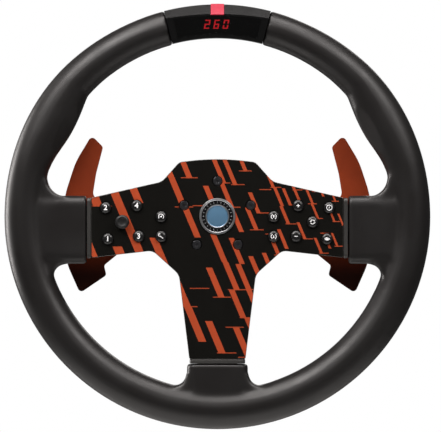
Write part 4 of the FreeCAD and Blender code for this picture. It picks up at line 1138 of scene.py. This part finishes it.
@dataclass
class Badge(Assembly):
    """Plain round badge: chrome lips, black inlay with ticks and a spun centre."""

    paints: Paintbox
    front: float = -70.9 * MM
    lips: tuple[float, float, float, float] = (13.5 * MM, 11.9 * MM, 8.9 * MM, 8.0 * MM)
    groove: float = 0.4 * MM
    back: float = -68.0 * MM
    lip_round: float = 0.25 * MM
    dome: float = 0.55 * MM
    ticks: int = 24
    tick_size: Vector = field(default_factory=lambda: Vector((0.35, 0.12, 1.3)) * MM)

    def build(self) -> None:
        """Turn the ring and the centre, and set the ticks."""
        outer, groove_out, groove_in, inner = self.lips
        front, floor, soft = self.front, self.front + self.groove, self.lip_round
        ring = lathe("emblem_bezel", [
            (inner, self.back), (outer, self.back), (outer, front + soft),
            (outer - soft * 0.3, front + soft * 0.3), (outer - soft, front),
            (groove_out + soft, front), (groove_out, front + soft), (groove_out, floor),
            (groove_in, floor), (groove_in, front + soft), (groove_in - soft * 0.4, front),
            (inner + soft, front), (inner, front + soft), (inner, self.back)], steps=96)
        self.turned(ring, "badge_chrome", "root", "emblem_ring")
        self._inlay(groove_out, groove_in, floor)
        edge = front + 0.3 * MM
        centre = lathe("emblem_centre", [
            (0.0, self.back), (inner - 0.05 * MM, self.back), (inner - 0.05 * MM, edge + self.dome),
            (inner * 0.96, edge + self.dome * 0.8), (inner * 0.75, edge + self.dome * 0.5),
            (inner * 0.5, edge + self.dome * 0.2), (inner * 0.25, edge + self.dome * 0.05),
            (0.0, edge)], steps=96)
        self.turned(centre, "badge_centre", "root", "emblem_disc")

    def _inlay(self, outer: float, inner: float, floor: float) -> None:
        """Black ring in the groove, with a ring of pale ticks.

        Args:
            outer: the groove's outer radius.
            inner: its inner radius.
            floor: where its floor is, along Y.
        """
        soft = 0.06 * MM
        inlay = lathe("badge_inlay_ring", [
            (inner, floor), (outer, floor), (outer, floor - soft), (outer - soft, floor - 2 * soft),
            (inner + soft, floor - 2 * soft), (inner, floor - soft), (inner, floor)], steps=96)
        self.paints.dress(inlay, "badge_inlay", "badge_chrome")
        ticks = []
        place = Vector((0.0, floor - 2 * soft, (outer + inner) / 2.0))
        for index in range(self.ticks):
            tick = box(f"tick_{index}", place - self.tick_size / 2.0, place + self.tick_size / 2.0)
            with editing(tick):
                bpy.ops.mesh.select_all(action="SELECT")
                bpy.ops.mesh.bevel(offset=0.04 * MM, segments=1, affect="EDGES")
                bpy.ops.mesh.select_all(action="SELECT")
                bpy.ops.transform.rotate(value=math.tau * index / self.ticks, orient_axis="Y",
                                         center_override=(0.0, 0.0, 0.0))
            self.paints.dress_second(tick, "badge_inlay", "badge_chrome")
            ticks.append(tick)
        inlay = joined("badge_inlay_ring", [inlay, *ticks])
        smooth(inlay, 40.0)
        self.show(inlay, "root", "badge_chrome")


@dataclass
class Hub(Assembly):
    """Printed plate, housings, bolts and boards."""

    paints: Paintbox
    hole_reach: float = 4.9 * MM
    bolt_reach: float = 32.0 * MM

    def build(self) -> None:
        """Round the hub's parts and dress its insides."""
        plate = self.refine("faceplate", "plate_black", 0.38 * MM, edge_finish="plate_edge")
        self.print_holes(plate)
        self.refine("hub_tray", "housing_plastic", 0.3 * MM)
        self.refine("hub_rear_cover", "housing_plastic", 0.7 * MM, segments=3)
        self.refine("hub_bolts", "screw_black", 0.12 * MM)
        self.refine("rear_screws", "screw_black", 0.15 * MM)
        Badge(self.paints).build()
        self.keep("circuit_board", "main_board", "button_board_left", "button_board_right")
        self.keep("switch_body", "button_switches_left", "button_switches_right")

    def print_holes(self, plate: bpy.types.Object) -> None:
        """Leave bare metal only on the outline, and print the edges of every hole."""
        places = [middle_of(node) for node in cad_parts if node.startswith("button_")
                  and "board" not in node and "switches" not in node]
        for face in plate.data.polygons:
            near = any(math.hypot(face.center.x - p.x, face.center.z - p.z) < self.hole_reach
                       for p in places)
            if near or math.hypot(face.center.x, face.center.z) < self.bolt_reach:
                face.material_index = 0


# ---------------------------------------------------------------- controls

class Mark(Enum):
    """What is printed on a button."""

    ONE = "1"
    TWO = "2"
    THREE = "3"
    FOUR = "4"
    PLUS = "plus"
    MINUS = "minus"
    TURN = "turn"
    GAUGE = "gauge"
    SPANNER = "spanner"
    LAMP = "lamp"
    EYE = "eye"
    UP = "up"
    DOWN = "down"


def arc(radius: float, start: float, end: float, x: float = 0.0, z: float = 0.0,
        steps: int = 14) -> Profile:
    """Points along an arc, in degrees."""
    turns = [math.radians(start + (end - start) * index / steps) for index in range(steps + 1)]
    return [(x + radius * math.cos(turn), z + radius * math.sin(turn)) for turn in turns]


STROKES: dict[Mark, list[Profile]] = {
    Mark.PLUS: [[(-1.2, 0.0), (1.2, 0.0)], [(0.0, -1.2), (0.0, 1.2)]],
    Mark.MINUS: [[(-1.2, 0.0), (1.2, 0.0)]],
    Mark.TURN: [arc(1.5, 20, 150), arc(1.5, 200, 330), [(-1.9, 0.2), (-1.3, 0.75), (-0.8, 0.3)],
                [(1.9, -0.2), (1.3, -0.75), (0.8, -0.3)]],
    Mark.GAUGE: [arc(1.9, -40, 220), arc(0.35, 0, 360), [(0.0, 0.0), (0.95, 1.05)],
                 [(-1.1, -0.1), (-0.8, -0.05)]],
    Mark.SPANNER: [[(-0.5, 0.5), (1.5, -1.5)], arc(0.85, 50, 310, -1.05, 1.05)],
    Mark.LAMP: [arc(1.9, 60, 300), arc(1.9, -60, 60, 0.2), [(0.0, 0.9), (0.0, -0.2)],
                [(0.0, -0.75), (0.0, -0.9)]],
    Mark.EYE: [arc(2.3, 40, 140, 0.0, -1.5), arc(2.3, 220, 320, 0.0, 1.5), arc(0.5, 0, 360)],
    Mark.UP: [arc(1.9, 120, 240), arc(1.9, -60, 60), [(0.0, -0.9), (0.0, 0.9)],
              [(-0.7, 0.3), (0.0, 1.0), (0.7, 0.3)]],
    Mark.DOWN: [arc(1.9, 120, 240), arc(1.9, -60, 60), [(0.0, 0.9), (0.0, -0.9)],
                [(-0.7, -0.3), (0.0, -1.0), (0.7, -0.3)]],
}


@dataclass
class Button(Assembly):
    """Round push button with a sloped rim and a printed top."""

    paints: Paintbox
    node: str
    mark: Mark
    radius: float = 4.12 * MM
    flat: float = 2.65 * MM
    tip: float = -72.48 * MM
    shoulder: float = -71.35 * MM
    flange: tuple[float, float, float] = (5.2 * MM, -67.7 * MM, -67.0 * MM)
    stem: tuple[float, float] = (1.2 * MM, -65.2 * MM)
    stroke: float = 0.29 * MM
    figure: float = 5.6 * MM
    steps: int = 40

    def build(self) -> None:
        """Turn the cap, print its mark and set it on its own body."""
        place = middle_of(self.node)
        x, z = place.x, place.z
        soft = 0.16 * MM
        flange_r, flange_y, back_y = self.flange
        cap = lathe(self.node + "_cap", [
            (0.0, self.tip), (self.flat - soft, self.tip), (self.flat + soft, self.tip + 0.5 * soft),
            (self.radius - 2 * soft, self.shoulder - 1.3 * soft),
            (self.radius - 0.5 * soft, self.shoulder),
            (self.radius, self.shoulder + 1.5 * soft), (self.radius, flange_y), (flange_r, flange_y),
            (flange_r, back_y), (self.stem[0], back_y), (self.stem[0], self.stem[1]),
            (0.0, self.stem[1])], x, z, self.steps)
        smooth(cap, 38.0)
        self.paints.dress(cap, "button_black", "legend_white")
        legend = self._figure(x, z) if self.mark.value.isdigit() else self._strokes(x, z)
        self.paints.dress_second(legend, "button_black", "legend_white")
        cap = joined(self.node + "_cap", [cap, legend])
        self.show(cap, self.node, "button_black", self.node)

    def _figure(self, x: float, z: float) -> bpy.types.Object:
        """Number printed on the cap.

        Args:
            x: the cap's middle.
            z: the cap's middle.

        Returns:
            The number.
        """
        deselect()
        bpy.ops.object.text_add(location=(x, self.tip, z), rotation=(math.pi / 2.0, 0.0, 0.0))
        text = bpy.context.view_layer.objects.active
        text.data.body = self.mark.value
        text.data.size = self.figure
        text.data.align_x, text.data.align_y = "CENTER", "CENTER"
        text.data.extrude = 0.03 * MM
        text.data.offset = 0.11 * MM
        bpy.ops.object.convert(target="MESH")
        return named(self.node + "_print")

    def _strokes(self, x: float, z: float) -> bpy.types.Object:
        """Sign printed on the cap, as flattened round strokes.

        Args:
            x: the cap's middle.
            z: the cap's middle.

        Returns:
            The sign.
        """
        curve = bpy.data.curves.new(self.node + "_print", "CURVE")
        curve.dimensions = "3D"
        curve.bevel_depth = self.stroke
        curve.bevel_resolution = 1
        curve.use_fill_caps = True
        for points in STROKES[self.mark]:
            spline = curve.splines.new("POLY")
            spline.points.add(len(points) - 1)
            for point, (a, b) in zip(spline.points, points):
                point.co = (x + a * MM, self.tip, z + b * MM, 1.0)
        piece = bpy.data.objects.new(self.node + "_print", curve)
        bpy.context.scene.collection.objects.link(piece)
        only(piece)
        bpy.ops.object.convert(target="MESH")
        piece = named(self.node + "_print")
        with editing(piece):
            bpy.ops.mesh.select_all(action="SELECT")
            bpy.ops.transform.resize(value=(1.0, 0.2, 1.0), center_override=(x, self.tip, z))
        return piece


@dataclass
class ThumbStick(Assembly):
    """Small stick with a dished hat."""

    paints: Paintbox
    radius: float = 5.3 * MM

    def build(self) -> None:
        """Turn the hat and dress the gimbal."""
        low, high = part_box("stick_cap")
        place = middle_of("stick_cap")
        front, end, r = low.y, high.y, self.radius
        hat = lathe("stick_hat", [
            (0.0, front + 0.75 * MM), (r * 0.3, front + 0.62 * MM), (r * 0.52, front + 0.3 * MM),
            (r * 0.62, front + 0.06 * MM), (r * 0.7, front), (r * 0.84, front + 0.25 * MM),
            (r * 0.95, front + 0.9 * MM), (r, front + 1.7 * MM), (r, front + 3.6 * MM),
            (r * 0.93, front + 4.0 * MM), (r * 0.6, front + 4.15 * MM), (2.0 * MM, front + 4.2 * MM),
            (2.0 * MM, -66.8 * MM), (1.25 * MM, -66.8 * MM), (1.25 * MM, end), (0.0, end)],
                    place.x, place.z, 64)
        self.turned(hat, "stick_plastic", "stick_cap", "stick_cap")
        self.keep("gimbal_white", "stick_gimbal", "stick_yoke")
        self.keep("switch_body", "stick_base")


@dataclass
class Controls(Assembly):
    """Thirteen buttons and the thumb stick."""

    paints: Paintbox
    marks: dict[str, Mark] = field(default_factory=lambda: {
        "left_outer_top": Mark.TWO, "left_inner_top": Mark.FOUR, "left_inner_bottom": Mark.THREE,
        "left_outer_bottom": Mark.ONE, "left_hub_top": Mark.GAUGE, "left_hub_bottom": Mark.SPANNER,
        "right_inner_top": Mark.PLUS, "right_inner_bottom": Mark.MINUS, "right_middle": Mark.TURN,
        "right_outer_top": Mark.LAMP, "right_outer_bottom": Mark.EYE, "right_hub_top": Mark.UP,
        "right_hub_bottom": Mark.DOWN})

    def build(self) -> None:
        """Make each button and the stick."""
        for place, mark in self.marks.items():
            Button(self.paints, "button_" + place, mark).build()
        ThumbStick(self.paints).build()


# ---------------------------------------------------------------- paddles and quick release

@dataclass
class Paddles(Assembly):
    """Shift paddles, brackets, pins and magnets."""

    paints: Paintbox

    def build(self) -> None:
        """Round the blades and brackets on both sides."""
        for side in ("left", "right"):
            body = "paddle_" + side
            self.refine(body, "paddle_orange", 0.6 * MM, body, 3, suffix="blade")
            self.refine("paddle_bracket_" + side, "bracket_metal", 0.4 * MM)
            self.keep("pin_steel", "paddle_pin_" + side)
            self.keep("magnet_nickel", "paddle_magnet_" + side, "bracket_magnet_" + side)
            self.keep("switch_body", "paddle_switch_" + side)


@dataclass
class QuickRelease(Assembly):
    """Socket, sleeve, spring, balls, clip and contacts."""

    paints: Paintbox
    travel: float = 5.1 * MM

    def build(self) -> None:
        """Round the turned parts."""
        self.refine("qr_socket", "socket_steel", 0.4 * MM)
        self.refine("qr_release_ring", "release_metal", 0.5 * MM, "qr_release_ring", 3)
        self.refine("qr_retaining_ring", "spring_steel", 0.12 * MM)
        self.refine("qr_contacts", "contact_block", 0.15 * MM)
        self.keep("spring_steel", "qr_balls")
        self.spring()

    def spring(self) -> None:
        """Copy the coil with a mesh of its own."""
        spring = duplicate(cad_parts["qr_spring"], "qr_spring_coil")
        with editing(spring):
            weld()
        smooth(spring, 50.0)
        self.paints.dress(spring, "spring_steel")
        self.show(spring, "root", "spring_steel", "qr_spring")
        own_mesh(spring)


# ---------------------------------------------------------------- studio

@dataclass
class Studio:
    """Floor, lights and camera."""

    middle: Vector = field(default_factory=lambda: Vector((2.33 * MM, 0.0, 0.2 * MM)))
    rim_plane: float = -61.0 * MM
    distance: float = 3.2
    sensor: float = 36.0
    view_width: float = 330.8 * MM
    floor_z: float = -0.7
    pale: Colour = (0.80, 0.80, 0.79)
    paler: Colour = (0.86, 0.86, 0.85)
    tint: Colour = (1.0, 0.955, 0.935)
    surround: float = 0.07
    floor_half: float = 0.75

    def floor(self) -> None:
        """Plain pale floor below the wheel."""
        deselect()
        bpy.ops.mesh.primitive_plane_add(size=2.0 * self.floor_half, location=(0.0, 0.0, self.floor_z))
        floor = named("studio_floor")
        with editing(floor):
            bpy.ops.mesh.select_all(action="SELECT")
            bpy.ops.mesh.subdivide(number_cuts=8)
        material = bpy.data.materials.new("studio_floor")
        material.use_nodes = True
        graph = Graph(material.node_tree)
        shader = material.node_tree.nodes["Principled BSDF"]
        noise = graph.noise(graph.place(), 0.004)
        graph.feed(shader, Base_Color=graph.mix(noise, shade(self.pale, 1.0), shade(self.paler, 1.0)))
        shader.inputs["Roughness"].default_value = 0.7
        floor.data.materials.append(material)

    def lamp(self, name: str, place: tuple[float, float, float], size: tuple[float, float],
             power: float, aim: tuple[float, float, float] = (0.0, -0.05, 0.0)) -> None:
        """Add a soft rectangular lamp that faces a point.

        Args:
            name: the lamp's name.
            place: where it stands.
            size: its width and height.
            power: its power in watts.
            aim: the point it faces.
        """
        data = bpy.data.lights.new(name, "AREA")
        data.shape = "RECTANGLE"
        data.size, data.size_y = size
        data.energy = power
        data.color = self.tint
        lamp = bpy.data.objects.new(name, data)
        bpy.context.scene.collection.objects.link(lamp)
        lamp.location = place
        lamp.rotation_euler = (Vector(aim) - Vector(place)).to_track_quat("-Z", "Y").to_euler()

    def lights(self) -> None:
        """Keys from the upper left and right, front and top strips, a left rim and a back light."""
        self.lamp("key", (-0.9, -1.0, 1.2), (1.0, 0.6), 24.0)
        self.lamp("front", (0.0, -1.25, 1.75), (1.8, 0.35), 9.0)
        self.lamp("right_key", (1.1, -1.1, 1.1), (0.8, 0.6), 15.0)
        self.lamp("left_rim", (-1.2, 0.45, 0.1), (0.4, 0.9), 14.0)
        self.lamp("top", (0.0, -0.35, 1.4), (1.5, 0.5), 16.0)
        self.lamp("back", (0.5, 2.2, 0.9), (1.2, 0.8), 7.0)

    def world(self) -> None:
        """White surroundings, dimmer in reflections than behind the wheel."""
        world = bpy.data.worlds.new("studio_world")
        bpy.context.scene.world = world
        world.use_nodes = True
        world.node_tree.nodes.clear()
        graph = Graph(world.node_tree)
        seen = graph.add("ShaderNodeLightPath").outputs["Is Camera Ray"]
        strength = graph.blend(seen, self.surround, 1.0)
        sky = graph.add("ShaderNodeBackground", {"Color": (1.0, 1.0, 1.0, 1.0), "Strength": strength})
        graph.add("ShaderNodeOutputWorld", {"Surface": sky.outputs[0]})
        bpy.context.scene.view_settings.view_transform = "Standard"

    def camera(self) -> None:
        """Long lens square on to the wheel."""
        data = bpy.data.cameras.new("camera")
        data.sensor_width = self.sensor
        data.lens = self.sensor * self.distance / self.view_width
        data.clip_end = 100.0
        camera = bpy.data.objects.new("camera", data)
        bpy.context.scene.collection.objects.link(camera)
        camera.location = (self.middle.x, self.rim_plane - self.distance, self.middle.z)
        camera.rotation_euler = (math.pi / 2.0, 0.0, 0.0)
        bpy.context.scene.camera = camera

    def build(self) -> None:
        """Set the whole studio."""
        self.floor()
        self.lights()
        self.world()
        self.camera()


def main() -> None:
    """Build every sub-assembly in order."""
    logging.basicConfig(level=logging.INFO, format="%(name)s %(message)s")
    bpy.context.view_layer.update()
    paints = Paintbox()
    for assembly in (Rim, Display, Hub, Controls, Paddles, QuickRelease):
        LOG.info("building %s", assembly.__name__)
        assembly(paints).build()
    Studio().build()


if __name__ == "__main__":
    main()
